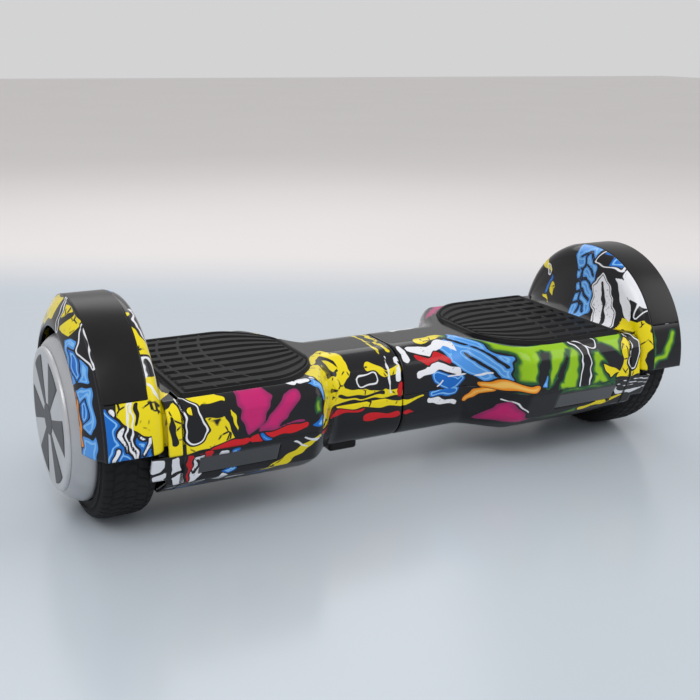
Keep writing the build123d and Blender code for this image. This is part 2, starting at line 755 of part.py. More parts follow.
# ---- Charge socket, its hinged cap, and the power switch, on the rear of the left waist -----------
flange = 1.5
socket_front = panel_face + flange
contact_end = socket_front - 5.5      # the three contacts stop short of the mouth
button_well = socket_front - 10
hinge_x = socket_x - 11.5
cap_y = (socket_front + gap, socket_front + gap + 2.2)

with BuildPart() as charge_socket:
    rod_y((panel_face - 16.5, panel_face), 6.0, socket_x, port_z)
    rod_y((panel_face, socket_front), 8.5, socket_x, port_z)
    rod_y((socket_front - 12, socket_front + 1), 4.6, socket_x, port_z, Mode.SUBTRACT)
    for x, z in [(0, 2.2), (1.9, -1.1), (-1.9, -1.1)]:
        rod_y((socket_front - 13, contact_end), 0.7, socket_x + x, port_z + z)
save_left("charge_socket", charge_socket)

with BuildPart() as charge_cap:
    rod_y(cap_y, 8.8, socket_x, port_z)
    block((hinge_x, socket_x), (cap_y[0], cap_y[1]), (port_z - 4, port_z + 4))
    rod_z((port_z - 4, port_z + 4), 1.1, hinge_x, sum(cap_y) / 2)
save_left("charge_cap", charge_cap)

with BuildPart() as power_switch:
    rod_y((panel_face - 18.5, panel_face), 8.0, switch_x, port_z)
    rod_y((panel_face, socket_front), 9.3, switch_x, port_z)
    rod_y((button_well, socket_front + 1), 6.5 + slide_gap, switch_x, port_z, Mode.SUBTRACT)
save_left("power_switch", power_switch)

with BuildPart() as power_button:
    rod_y((button_well + button_travel + 0.5, socket_front + 1.2), 6.5, switch_x, port_z)
    fillet(power_button.edges().filter_by(GeomType.CIRCLE).sort_by(Axis.Y)[-1], 0.8)
save_left("power_button", power_button)
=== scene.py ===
# %% [markdown]
# # A self balancing board
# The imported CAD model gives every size, place and joint. This script adds the looks: smooth moulded
# shells with a printed film, ribbed rubber pads, treaded tyres and two-tone hub caps. Lengths below are
# in millimetres until a mesh is made, because a maker thinks of this object in millimetres.

import json
import math

import bmesh
import bpy
import numpy as np
from mathutils import Matrix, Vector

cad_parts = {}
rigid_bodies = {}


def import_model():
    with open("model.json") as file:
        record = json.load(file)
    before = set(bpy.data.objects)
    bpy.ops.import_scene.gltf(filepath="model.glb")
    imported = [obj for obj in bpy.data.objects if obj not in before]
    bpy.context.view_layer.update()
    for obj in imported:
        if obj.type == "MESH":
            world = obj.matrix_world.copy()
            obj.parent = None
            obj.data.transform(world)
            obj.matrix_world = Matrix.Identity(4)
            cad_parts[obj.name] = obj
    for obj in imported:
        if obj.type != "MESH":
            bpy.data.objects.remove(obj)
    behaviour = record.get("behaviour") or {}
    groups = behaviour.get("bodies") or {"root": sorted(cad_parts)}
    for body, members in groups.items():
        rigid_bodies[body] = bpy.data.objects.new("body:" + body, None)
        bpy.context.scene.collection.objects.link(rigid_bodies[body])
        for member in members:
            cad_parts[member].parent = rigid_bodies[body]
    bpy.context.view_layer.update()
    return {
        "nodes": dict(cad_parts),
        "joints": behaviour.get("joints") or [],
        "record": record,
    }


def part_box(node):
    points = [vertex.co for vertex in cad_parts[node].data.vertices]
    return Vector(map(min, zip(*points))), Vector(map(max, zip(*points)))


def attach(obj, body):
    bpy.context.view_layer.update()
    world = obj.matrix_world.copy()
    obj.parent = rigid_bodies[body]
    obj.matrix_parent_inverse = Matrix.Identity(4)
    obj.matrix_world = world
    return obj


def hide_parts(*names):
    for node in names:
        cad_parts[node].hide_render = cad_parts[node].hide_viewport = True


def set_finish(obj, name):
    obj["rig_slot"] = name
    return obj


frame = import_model()
MM = 0.001
SIDES = {"left": -1, "right": 1}

# %% [markdown]
# ## Measures
# A piece that replaces a CAD solid has to lie where that solid lies. So the wheel line, the arch, the
# deck and the joints are read from the frame, and only soft shape values, which no box can give, are
# written here.

# %% Read the measures of the right half


def limits(node):
    """Lowest and highest corner of a CAD node, in millimetres."""
    low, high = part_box(node)
    return np.array(low) / MM, np.array(high) / MM


tyre_low, tyre_high = limits("right_tyre")
shell_low, shell_high = limits("right_upper_shell")
tub_low, tub_high = limits("right_lower_shell")
tub_left_bottom = limits("left_lower_shell")[0][2]
pad_low, pad_high = limits("right_footpad")
band_low, band_high = limits("right_fender_band")
lens_low, lens_high = limits("right_led_lens")
cover_low, cover_high = limits("right_motor_cover")
cap_low, cap_high = limits("right_hub_cap")
spoke_low, spoke_high = limits("right_hub_spokes")

axle_z = (tyre_low[2] + tyre_high[2]) / 2
tyre_radius = (tyre_high[2] - tyre_low[2]) / 2
tyre_in, tyre_out = tyre_low[0], tyre_high[0]
hub_face = spoke_high[0]
arch_radius = shell_high[2] - axle_z
skirt_x = shell_high[0]
seam_x = shell_low[0]
parting_z = shell_low[2]
half_deck = tub_high[1]
deck_top = pad_low[2]
joints = {joint["name"]: joint for joint in frame["joints"]}
twist_z = joints["centre_twist"]["pos_m"][2] / MM
print("axle", axle_z, "arch", arch_radius, "deck", half_deck, deck_top, "twist", twist_z)

# %% Soft shape values
wall = 3.0
half_waist = 45.5
belly_z = axle_z - 53
waist_bottom = tub_low[2]
neck_start = 62.0
neck_end = 105.0
deck_end = tyre_in - 13
collar_end = tyre_in - wall
lower_end = tyre_in + 10          # the front and back walls of the tub run on past the tyre
arch_foot_x = deck_end - 9
skirt_radius = arch_radius - 23
rim_radius = (cover_high[2] - cover_low[2]) / 2 - 1

# %% [markdown]
# ## Meshes from grids
# Every moulded surface here is a function of two parameters. The function is worked out for a whole
# grid at once, and the grid becomes a mesh in one call. Mirroring turns a surface inside out, so the
# faces of one half are listed the other way round, and the outside stays outside on both.

# %% Grid to mesh
FAR = 60.0                        # a stored distance that no ink reaches


def quads(rows, columns, start, wrap=False, hole=None):
    """Corner numbers of the faces of a rows x columns grid, minus the faces that hole marks."""
    row, column = np.meshgrid(np.arange(rows - 1), np.arange(columns if wrap else columns - 1), indexing="ij")
    if hole is not None:
        keep = ~hole[row, column]
        row, column = row[keep], column[keep]
    following = (column + 1) % columns
    corners = [row * columns + column, row * columns + following,
               (row + 1) * columns + following, (row + 1) * columns + column]
    return np.stack([corner.ravel() for corner in corners], 1) + start


def put_in_scene(name, data):
    """An object for a mesh, lamp or camera, at the origin and linked to the scene."""
    made = bpy.data.objects.new(name, data)
    bpy.context.collection.objects.link(made)
    return made


def new_piece(name, grids, side=1, attributes=()):
    """One mesh from several grids of points in millimetres, mirrored to the left where side is -1.

    Each grid is a dict with points (rows, columns, 3). It may have wrap, where the last column meets the
    first, hole, which marks faces to leave out, flip, which turns the faces round, and one array of
    numbers for each attribute name.
    """
    points, faces, values = [], [], {key: [] for key in attributes}
    start = 0
    for grid in grids:
        array = grid["points"]
        rows, columns = array.shape[:2]
        made = quads(rows, columns, start, grid.get("wrap", False), grid.get("hole"))
        if grid.get("flip", False) == (side < 0):
            made = made[:, ::-1]
        faces.append(made)
        points.append(array.reshape(-1, 3) * (side * MM, MM, MM))
        for key in attributes:
            values[key].append(grid.get(key, np.full((rows, columns), FAR)).ravel())
        start += rows * columns
    points, faces = np.concatenate(points), np.concatenate(faces)
    mesh = bpy.data.meshes.new(name)
    mesh.vertices.add(len(points))
    mesh.vertices.foreach_set("co", points.ravel())
    mesh.loops.add(faces.size)
    mesh.loops.foreach_set("vertex_index", faces.ravel().astype(np.int32))
    mesh.polygons.add(len(faces))
    mesh.polygons.foreach_set("loop_start", np.arange(0, faces.size, 4, dtype=np.int32))
    mesh.update(calc_edges=True)
    mesh.validate()
    mesh.polygons.foreach_set("use_smooth", np.ones(len(mesh.polygons), bool))
    for key in attributes:
        layer = mesh.attributes.new(key, "FLOAT", "POINT")
        layer.data.foreach_set("value", np.concatenate(values[key]).astype(np.float32))
    print(name, len(points), "points", len(faces), "faces")
    return put_in_scene(name, mesh)


def thicken(piece, thickness):
    """Give an open surface a wall that grows inwards."""
    shell = piece.modifiers.new("wall", "SOLIDIFY")
    shell.thickness = thickness * MM
    shell.offset = -1
    return piece


def weld(piece):
    """Merge doubled points, as at a pole, and make all faces point outwards."""
    shape = bmesh.new()
    shape.from_mesh(piece.data)
    bmesh.ops.remove_doubles(shape, verts=shape.verts, dist=0.01 * MM)
    bmesh.ops.recalc_face_normals(shape, faces=shape.faces)
    shape.to_mesh(piece.data)
    shape.free()
    piece.data.update()
    return piece


def finish_piece(piece, body, slot, *nodes):
    """Say which body a piece moves with, its material slot and the CAD nodes that it replaces."""
    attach(piece, body)
    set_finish(piece, slot)
    if nodes:
        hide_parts(*nodes)


def turned(profile, angles):
    """Sweep an outline of (x, radius) points about the axle line: x stays, the radius turns."""
    x, radius = np.asarray(profile, float).T
    points = np.empty((len(angles), len(x), 3))
    points[..., 0] = x
    points[..., 1] = -np.cos(angles)[:, None] * radius
    points[..., 2] = axle_z + np.sin(angles)[:, None] * radius
    return points


def steps(start, stop, pitch):
    """Evenly spaced values, about one pitch apart, both ends included."""
    return np.linspace(start, stop, max(2, int(round(abs(stop - start) / pitch)) + 1))


def joined(*runs):
    """One rising list from several that share their ends."""
    return np.concatenate([runs[0]] + [run[1:] for run in runs[1:]])


def mix(low, high, share):
    """The value a share of the way from low to high."""
    return low + (high - low) * share


# %% [markdown]
# ## Shell sections
# Cut anywhere across, a shell is the same line of three stretches: a side wall that leans in a little,
# a rounded edge and a level middle. On the round waist the edge is most of the line, and on the deck it
# is a narrow bevel. A superellipse does both: its power is 2 on the waist and near 1 on the deck.

# %% Section lines
edge_deck = 12.0                  # height of the rounded edge on the deck
edge_waist = 31.0                 # and on the waist
lean_top = 2.0                    # how far the upper wall leans in
lean_under = 12.0                 # and the lower one
turn_under = belly_z + 16         # where the lower wall turns under, on the deck
turn_waist = twist_z - 11         # and on the waist
belly_half = half_deck - 38       # half width of the level belly
belly_waist = 15.0
wall_rows = (4, 12, 5)            # points of the lower wall above, on and below the lamp


def swell(x):
    """0 on the waist and 1 on the deck, along a smooth S curve between them."""
    share = np.clip((x - neck_start) / (neck_end - neck_start), 0, 1)
    return share * share * (3 - 2 * share)


def section_line(x, side_y, side_z, edge_y, edge_z, half, power, wall_steps, round_steps, flat_steps):
    """Points of the line at each x, from the front parting over the middle to the back parting.

    The side goes straight from the parting to (side_y, side_z); the edge is a quarter superellipse,
    cos^(2/power) by sin^(2/power), that ends level at (edge_y, edge_z).
    """
    turn = np.linspace(0, math.pi / 2, round_steps)[1:]
    side_share = wall_steps[None, :]
    flat_share = np.linspace(0, 1, flat_steps)[None, 1:]
    raise_to = 2 / power[:, None]
    y = np.concatenate([
        mix(half[:, None], side_y[:, None], side_share),
        edge_y[:, None] + (side_y - edge_y)[:, None] * np.abs(np.cos(turn)) ** raise_to,
        edge_y[:, None] * (1 - flat_share),
    ], 1)
    z = np.concatenate([
        mix(parting_z, side_z[:, None], side_share),
        side_z[:, None] + (edge_z - side_z)[:, None] * np.abs(np.sin(turn)) ** raise_to,
        edge_z[:, None] + 0 * flat_share,
    ], 1)
    y = np.concatenate([-y, y[:, -2::-1]], 1)
    z = np.concatenate([z, z[:, -2::-1]], 1)
    return np.stack([np.broadcast_to(x[:, None], y.shape), y, z], 2)


def run_length(points):
    """Distance along each row of a grid, from its first point."""
    gaps = np.linalg.norm(np.diff(points, axis=1), axis=2)
    return np.concatenate([np.zeros((len(points), 1)), np.cumsum(gaps, 1)], 1)


def upper_lines(x):
    """Section lines of the upper shell: on the deck a low bevel, on the waist a quarter circle."""
    share = swell(x)
    half = mix(half_waist, half_deck, share)
    edge = mix(edge_waist, edge_deck, share)
    side_y = half - lean_top * share
    top = np.full(len(x), deck_top)
    return section_line(x, side_y, top - edge, side_y - edge, top, half, mix(2.0, 1.4, share),
                        np.linspace(0, 1, 30), 16, 44)


def lower_lines(x):
    """Section lines of the lower shell, with rows of points at the upper and lower edge of the lamp."""
    share = swell(x)
    half = mix(half_waist, half_deck, share)
    side_y = half - lean_under * share
    bottom = mix(waist_bottom, belly_z, share)
    side_z = mix(turn_waist, turn_under, share)
    edge_y = mix(belly_waist, belly_half, share)
    drop = parting_z - turn_under
    window = [(parting_z - lens_high[2]) / drop, (parting_z - lens_low[2]) / drop]
    above, beside, below = wall_rows
    wall_steps = joined(np.linspace(0, window[0], above), np.linspace(*window, beside),
                        np.linspace(window[1], 1, below))
    return section_line(x, side_y, side_z, edge_y, bottom, half, mix(2.0, 1.06, share), wall_steps, 16, 40)


def soft_rim(points, x, along):
    """Turn the last half millimetre in, at the parting and at the waist seam, as a moulded edge does."""
    centre = np.array([0, 0, twist_z])
    turn_in = 0.5 * np.exp(-np.minimum(along, along[:, -1:] - along) / 0.7)
    turn_in += 0.7 * np.exp(-(x - seam_x) / 0.9)[:, None]
    away = points - centre
    away[..., 0] = 0
    away /= np.linalg.norm(away, axis=2, keepdims=True)
    return points - away * turn_in[..., None]


# %% [markdown]
# ## The wheel arch
# The arch is turned about the axle, but its foot isn't round: it stands on the deck. So the foot's
# radius at each angle is the deck's own outline seen from the axle, a superellipse, and the flank sweeps
# up from there to the crown along a Bezier curve. That gives the wide apron behind the pad and the
# narrow, nearly flush strip at the front.

# %% Arch surface
arch_foot_drop = 5.0              # the arch ends this far below the axle line
arch_start = math.asin(-arch_foot_drop / 95.0)
band_start = math.asin((band_low[2] - axle_z) / (arch_radius - 0.8))
arch_turn = 0.016                 # angle between two rows of points
shoulder_x = tyre_in - 1.0        # where the flank ends and the inner corner starts
shoulder_r = arch_radius - 12.0
crown_in = tyre_in + 11.0         # the level crown, under the band, lies between these two
crown_out = tyre_out + 2.0
crown_edge = 2.4                  # radius of its outer edge


def foot_radius(angles):
    """Axle to deck surface, by direction: (|cos/half|^n + |sin/rise|^n)^(-1/n)."""
    power = 7.0
    across = np.abs(np.cos(angles)) / (half_deck - 1)
    up = np.maximum(np.sin(angles), 0) / (deck_top - axle_z)
    return (across ** power + up ** power) ** (-1 / power)


def bezier(ends, share):
    """Cubic Bezier through four points, each of which may be an array over the angles."""
    first, second, third, last = ends
    rest = 1 - share
    return first * rest ** 3 + 3 * second * rest ** 2 * share + 3 * third * rest * share ** 2 + last * share ** 3


def arch_grid():
    """Points of the arch, the angle of each row, and the faces that the band hides.

    At each angle the outline runs over a Bezier flank, a quarter-ellipse corner, the level crown, a
    quarter-circle edge and a Bezier skirt.
    """
    angles = joined(steps(arch_start, band_start, arch_turn), steps(band_start, math.pi - band_start, arch_turn),
                    steps(math.pi - band_start, math.pi - arch_start, arch_turn))
    foot = foot_radius(angles)[:, None] - 1.0
    share = np.linspace(0, 1, 40)[None, :]
    rise = arch_radius - foot
    flank_x = bezier([arch_foot_x, arch_foot_x + 9, shoulder_x - 4, shoulder_x], share) + 0 * foot
    flank_r = bezier([foot, foot + 0.04 * rise, shoulder_r - 0.5 * rise, shoulder_r], share)
    corner = np.linspace(0, math.pi / 2, 12)[None, 1:]
    inner_x = shoulder_x + (crown_in - shoulder_x) * (1 - np.cos(corner)) + 0 * foot
    inner_r = shoulder_r + (arch_radius - shoulder_r) * np.sin(corner) + 0 * foot
    crown_x = steps(crown_in, crown_out - crown_edge, 1.5)[None, 1:] + 0 * foot
    crown_r = arch_radius + 0 * crown_x
    outer_x = crown_out - crown_edge * (1 - np.sin(corner)) + 0 * foot
    outer_r = arch_radius - crown_edge * (1 - np.cos(corner)) + 0 * foot
    skirt = np.linspace(0, 1, 22)[None, 1:]
    skirt_line_x = bezier([crown_out, crown_out + 3.5, skirt_x - 2.6, skirt_x], skirt) + 0 * foot
    skirt_line_r = bezier([arch_radius - crown_edge, arch_radius - 6.5, skirt_radius + 11, skirt_radius],
                          skirt) + 0 * foot
    x = np.concatenate([flank_x, inner_x, crown_x, outer_x, skirt_line_x], 1)
    radius = np.concatenate([flank_r, inner_r, crown_r, outer_r, skirt_line_r], 1)
    points = np.stack([x, -np.cos(angles)[:, None] * radius, axle_z + np.sin(angles)[:, None] * radius], 2)
    middle_x = (x[:-1, 1:] + x[:-1, :-1]) / 2
    middle_angle = (angles[1:] + angles[:-1])[:, None] / 2
    under_band = (middle_angle > band_start) & (middle_angle < math.pi - band_start)
    under_band = under_band & (middle_x > crown_in) & (middle_x < crown_out - crown_edge)
    return points, angles, under_band


# %% [markdown]
# ## The print
# The film on the shells is drawn as flat shapes. Each shape is a signed distance in millimetres, below
# zero inside, worked out at every mesh point and stored there, one number for each ink. A later shape
# cuts the earlier ones. The shader turns each distance into a crisp edge and leaves a dark gap between
# neighbours, which is the black outline of the drawing.

# %% Inks and shapes
INKS = ("green", "magenta", "blue", "sky", "yellow", "orange", "red", "white")
LAYERS = INKS + ("line", "loop")


def stroke(u, v, path, *radii):
    """Distance to a bent brush stroke: the least of its segments, with the radius running along it."""
    places = np.array(path, float)
    sizes = np.interp(np.linspace(0, 1, len(places)), np.linspace(0, 1, len(radii)), radii)
    best = np.full(np.shape(u), FAR)
    for index in range(len(places) - 1):
        start, end = places[index], places[index + 1]
        along = end - start
        share = ((u - start[0]) * along[0] + (v - start[1]) * along[1]) / max(along @ along, 1e-9)
        share = np.clip(share, 0, 1)
        reach = np.hypot(u - start[0] - share * along[0], v - start[1] - share * along[1])
        best = np.minimum(best, reach - mix(sizes[index], sizes[index + 1], share))
    return best


def patch(u, v, corners):
    """Distance to a polygon: to its nearest side, negative where a ray crosses an odd number of sides."""
    corners = np.array(corners, float)
    best = np.full(np.shape(u), FAR)
    inside = np.zeros(np.shape(u), bool)
    for start, end in zip(corners, np.roll(corners, -1, 0)):
        best = np.minimum(best, stroke(u, v, (start, end), 0))
        crosses = (start[1] > v) != (end[1] > v)
        level = np.where(np.abs(end[1] - start[1]) < 1e-9, 1e-9, end[1] - start[1])
        inside ^= crosses & (u < start[0] + (v - start[1]) / level * (end[0] - start[0]))
    return np.where(inside, -best, best)


class Film:
    """The layers of one panel of the print, drawn over plane coordinates u and v in millimetres.

    where is a boolean array: the panel is painted only there. rough adds a hand-drawn waver.
    """

    def __init__(self, u, v, where=None, rough=0.8):
        waver = np.sin(0.31 * u + 1.7 * np.sin(0.23 * v)) + 0.6 * np.sin(0.53 * v + 1.3 * np.sin(0.41 * u))
        self.u = u + rough * waver
        self.v = v + rough * np.cos(0.37 * v + 0.29 * u)
        self.where = np.ones(u.shape, bool) if where is None else where
        self.layers = {ink: np.full(u.shape, FAR) for ink in LAYERS}

    def lay(self, ink, distance):
        """Put one shape over what is there; the ink "black" only cuts."""
        distance = np.where(self.where, distance, FAR)
        for layer in INKS + ("line",):
            if layer != ink:
                self.layers[layer] = np.maximum(self.layers[layer], -distance)
        if ink != "black":
            self.layers[ink] = np.minimum(self.layers[ink], distance)

    def blot(self, ink, *corners):
        """A filled patch of ink."""
        self.lay(ink, patch(self.u, self.v, corners))

    def brush(self, ink, path, *radii):
        """A stroke of ink."""
        self.lay(ink, stroke(self.u, self.v, path, *radii))

    def add(self, layer, distance):
        """Put a white line, or the edge that a white line follows, over what is there."""
        self.layers[layer] = np.minimum(self.layers[layer], np.where(self.where, distance, FAR))

    def rim(self, path, *radii):
        """A black stroke with a thin white outline round it."""
        edge = stroke(self.u, self.v, path, *radii)
        self.lay("black", edge - 1.6)
        self.add("loop", edge)

    def outline(self, ink, *corners):
        """A patch of ink with a white outline round it."""
        edge = patch(self.u, self.v, corners)
        self.lay("black", edge - 1.6)
        self.lay(ink, edge + 0.8)
        self.add("loop", edge)

    def pen(self, path):
        """A thin white line."""
        self.add("line", stroke(self.u, self.v, path, 0.8))

    def scatter(self, seed, count, spread, inks):
        """Seeded shapes for the sides that have no drawing of their own: shards, bars and beans."""
        dice = np.random.default_rng(seed)
        for _ in range(count):
            middle = dice.uniform(spread[0], spread[1])
            turn = dice.uniform(0, math.pi)
            size = dice.uniform(5, 13)
            ahead = np.array([math.cos(turn), math.sin(turn)]) * size
            aside = np.array([-ahead[1], ahead[0]]) * dice.uniform(0.3, 0.8)
            ink = inks[dice.integers(len(inks))]
            form = dice.integers(4)
            if form == 0:
                self.blot(ink, middle - ahead - aside, middle + 1.2 * ahead, middle + aside - 0.3 * ahead)
            elif form == 1:
                self.blot(ink, middle - ahead - 0.5 * aside, middle + ahead - 0.7 * aside,
                          middle + 0.7 * ahead + 0.6 * aside, middle - 0.8 * ahead + 0.7 * aside)
            elif form == 2:
                self.brush(ink, (middle - ahead, middle + 0.6 * aside, middle + ahead), 2.0, size * 0.4, 1.0)
            else:
                self.rim((middle - 0.5 * ahead, middle + 0.4 * ahead), size * 0.25, size * 0.4)

    def over(self, other):
        """Join two panels of the same surface, each painted in its own place."""
        for layer in LAYERS:
            self.layers[layer] = np.minimum(self.layers[layer], other.layers[layer])
        return self


# %% [markdown]
# ## Drawing the panels
# A deck's front is drawn over the distance along the board and up its skin from the parting line; its
# back and middle over the plan. An arch is drawn as it is seen from its side. The two halves differ.

# %% Deck panels
waist_crest = 56.0                # run length up to the middle of the waist's front


def paint_upper(side_name, points, run):
    """Draw an upper shell: its front by (x, run), its middle by (x, y), its back by run from behind."""
    x, y = points[..., 0], points[..., 1]
    front = y < -6
    deck = Film(x, run, front)
    plan = Film(x, y, ~front)
    if side_name == "left":
        deck.blot("yellow", (231, -4), (231, 22), (226, 36), (212, 45), (186, 47), (178, 40), (172, 22), (170, 6))
        deck.rim([(214, 46), (206, 32), (204, 16)], 2.0, 5.0, 8.5)
        deck.brush("black", [(195, 31), (183, 31)], 5.5)
        deck.brush("black", [(222, 30), (220, 10)], 1.0, 2.4)
        deck.brush("black", [(176, 46), (178, 24), (172, 8)], 1.2)
        deck.blot("magenta", (171, 47), (148, 47), (141, 34), (152, 12), (164, 7), (169, 22))
        deck.brush("magenta", [(124, 33), (147, 9)], 6.5)
        deck.brush("magenta", [(146, 7), (116, 11)], 2.6)
        deck.brush("red", [(190, 0), (166, 3)], 3.6)
        deck.brush("red", [(160, 3), (114, 8)], 3.2)
        deck.brush("blue", [(151, 5), (146, 0)], 2.0)
        deck.blot("green", (107, 29), (99, 27), (99, 15), (108, 14))
        deck.blot("blue", (98, 15), (98, 4), (110, 5))
        deck.brush("sky", [(112, 47), (98, 40), (92, 26)], 5.0, 6.0)
        deck.brush("white", [(124, 46), (120, 45)], 3.4)
        deck.brush("white", [(113, 46), (109, 46)], 4.6)
        deck.brush("white", [(102, 50), (95, 40), (90, 24)], 2.2)
        deck.blot("yellow", (106, 66), (93, 68), (82, 50), (76, 30), (74, 0), (101, 0), (97, 18), (94, 30), (99, 46))
        deck.brush("yellow", [(82, 60), (68, 56), (56, 44), (54, 30), (62, 20), (76, 24)], 5.5)
        deck.brush("yellow", [(74, 44), (64, 34)], 4.0)
        deck.brush("black", [(78, 54), (72, 38), (64, 26)], 1.0)
        deck.brush("yellow", [(80, 8), (60, 9), (30, 6), (2, 4)], 8.0, 6.0, 4.5, 3.5)
        deck.brush("yellow", [(30, 30), (16, 22), (4, 24)], 5.0, 3.0, 5.0)
        deck.brush("black", [(70, 10), (44, 5), (20, 6)], 0.8)
        deck.rim([(40, 18), (30, 20)], 5.0)
        deck.pen([(98, 8), (88, 16), (82, 30)])
    else:
        deck.brush("green", [(52, 60), (64, 48), (90, 42), (150, 42), (206, 43)], 3.5, 7.5, 7.0, 7.5, 6.5)
        deck.brush("green", [(101, 38), (97, 4)], 12.0)
        deck.brush("green", [(134, 38), (127, 18), (120, 6)], 11.0, 8.0, 5.0)
        deck.brush("green", [(154, 34), (145, 8)], 10.5)
        deck.brush("green", [(164, 34), (184, 6)], 9.5)
        deck.brush("green", [(136, 3), (204, 6)], 5.5)
        deck.blot("green", (168, 48), (214, 48), (211, 14), (196, 26))
        deck.brush("black", [(116, 36), (113, 8)], 0.5, 3.0)
        deck.brush("black", [(140, 30), (133, 12)], 0.5, 2.2)
        deck.blot("sky", (112, 4), (121, 4), (119, 18))
        deck.rim([(148, 46), (160, 36), (163, 20), (161, 2)], 1.0, 4.0, 5.0, 6.0)
        deck.rim([(160, 48), (170, 40)], 6.0)
        deck.blot("sky", (58, 52), (64, 60), (78, 46), (84, 34), (92, 34), (91, 8), (76, 6), (60, 14), (48, 26))
        deck.blot("sky", (40, 44), (56, 50), (56, 30), (44, 26))
        deck.brush("black", [(58, 46), (78, 34), (88, 22)], 1.0)
        deck.brush("black", [(66, 30), (84, 12)], 1.0)
        deck.brush("blue", [(34, 12), (50, 5), (60, 8)], 6.0, 8.0, 4.0)
        deck.brush("black", [(40, 40), (56, 12)], 1.2)
        deck.pen([(34, 4), (48, 12), (66, 10), (80, 14)])
        deck.brush("orange", [(74, 2), (88, 6), (108, 4)], 3.0, 5.0, 3.0)
        deck.blot("yellow", (196, 2), (230, 2), (233, 40), (212, 44), (202, 30), (205, 14))
        deck.blot("yellow", (180, 18), (190, 4), (204, 8), (196, 12))
        deck.rim([(214, 44), (220, 32), (216, 12)], 1.5, 5.0, 4.0)
    waist = Film(x, run - waist_crest, front & (x < 60))
    if side_name == "left":
        waist.brush("yellow", [(5, 24), (9, 4), (7, -14)], 2.2)
        waist.brush("yellow", [(13, 24), (17, 4), (15, -14)], 1.6)
        waist.brush("white", [(3, -22), (5, -40)], 3.4)
        waist.brush("black", [(2, -26), (8, -34)], 0.8)
        waist.pen([(12, -18), (14, -34), (12, -52)])
        waist.brush("red", [(3, -46), (4, -56)], 3.0)
    else:
        waist.brush("white", [(6, -10), (7, -26)], 3.0)
        waist.brush("yellow", [(30, -4), (52, 2)], 6.0, 4.0)
        waist.brush("white", [(14, -14), (32, -20), (48, -10), (62, -20)], 4.5, 5.5, 5.0)
        waist.brush("white", [(16, -40), (36, -34), (58, -42)], 3.4, 4.6, 3.0)
        waist.brush("red", [(18, -24), (28, -30), (38, -24), (50, -32)], 3.0, 4.0, 2.6)
    deck.over(waist)
    if side_name == "left":
        plan.brush("green", [(224, 88), (203, 88)], 5.0)
        plan.pen([(202, 82), (196, 90), (190, 82)])
        plan.brush("green", [(188, 88), (150, 89)], 4.5, 5.0)
        plan.brush("sky", [(142, 89), (132, 86)], 4.0)
        plan.brush("yellow", [(128, 86), (104, 66), (92, 58)], 3.0, 5.5, 5.0)
        plan.brush("yellow", [(90, 50), (72, 36)], 5.0, 1.0)
        plan.brush("white", [(118, 74), (96, 56), (64, 24)], 1.2, 2.8, 1.4)
        plan.brush("yellow", [(5, -6), (8, 40)], 2.2)
        plan.brush("yellow", [(14, -6), (17, 40)], 1.6)
    else:
        plan.brush("magenta", [(84, 52), (104, 70), (124, 84)], 4.0, 6.0)
        plan.brush("yellow", [(134, 88), (176, 88)], 4.0)
        plan.brush("white", [(24, 20), (48, 24), (66, 36)], 4.0, 5.5, 3.0)
        plan.brush("sky", [(40, 32), (62, 44)], 3.6)
        plan.pen([(20, 34), (44, 42), (72, 54)])
        plan.brush("red", [(206, 88), (218, 84)], 3.0)
    back = Film(x, run[:, -1:] - run, y > 66)
    back.scatter(11 + SIDES[side_name], 42, ((64, 0), (218, 34)),
                 ("yellow", "blue", "green", "magenta", "sky", "red"))
    return deck.over(plan).over(back).layers


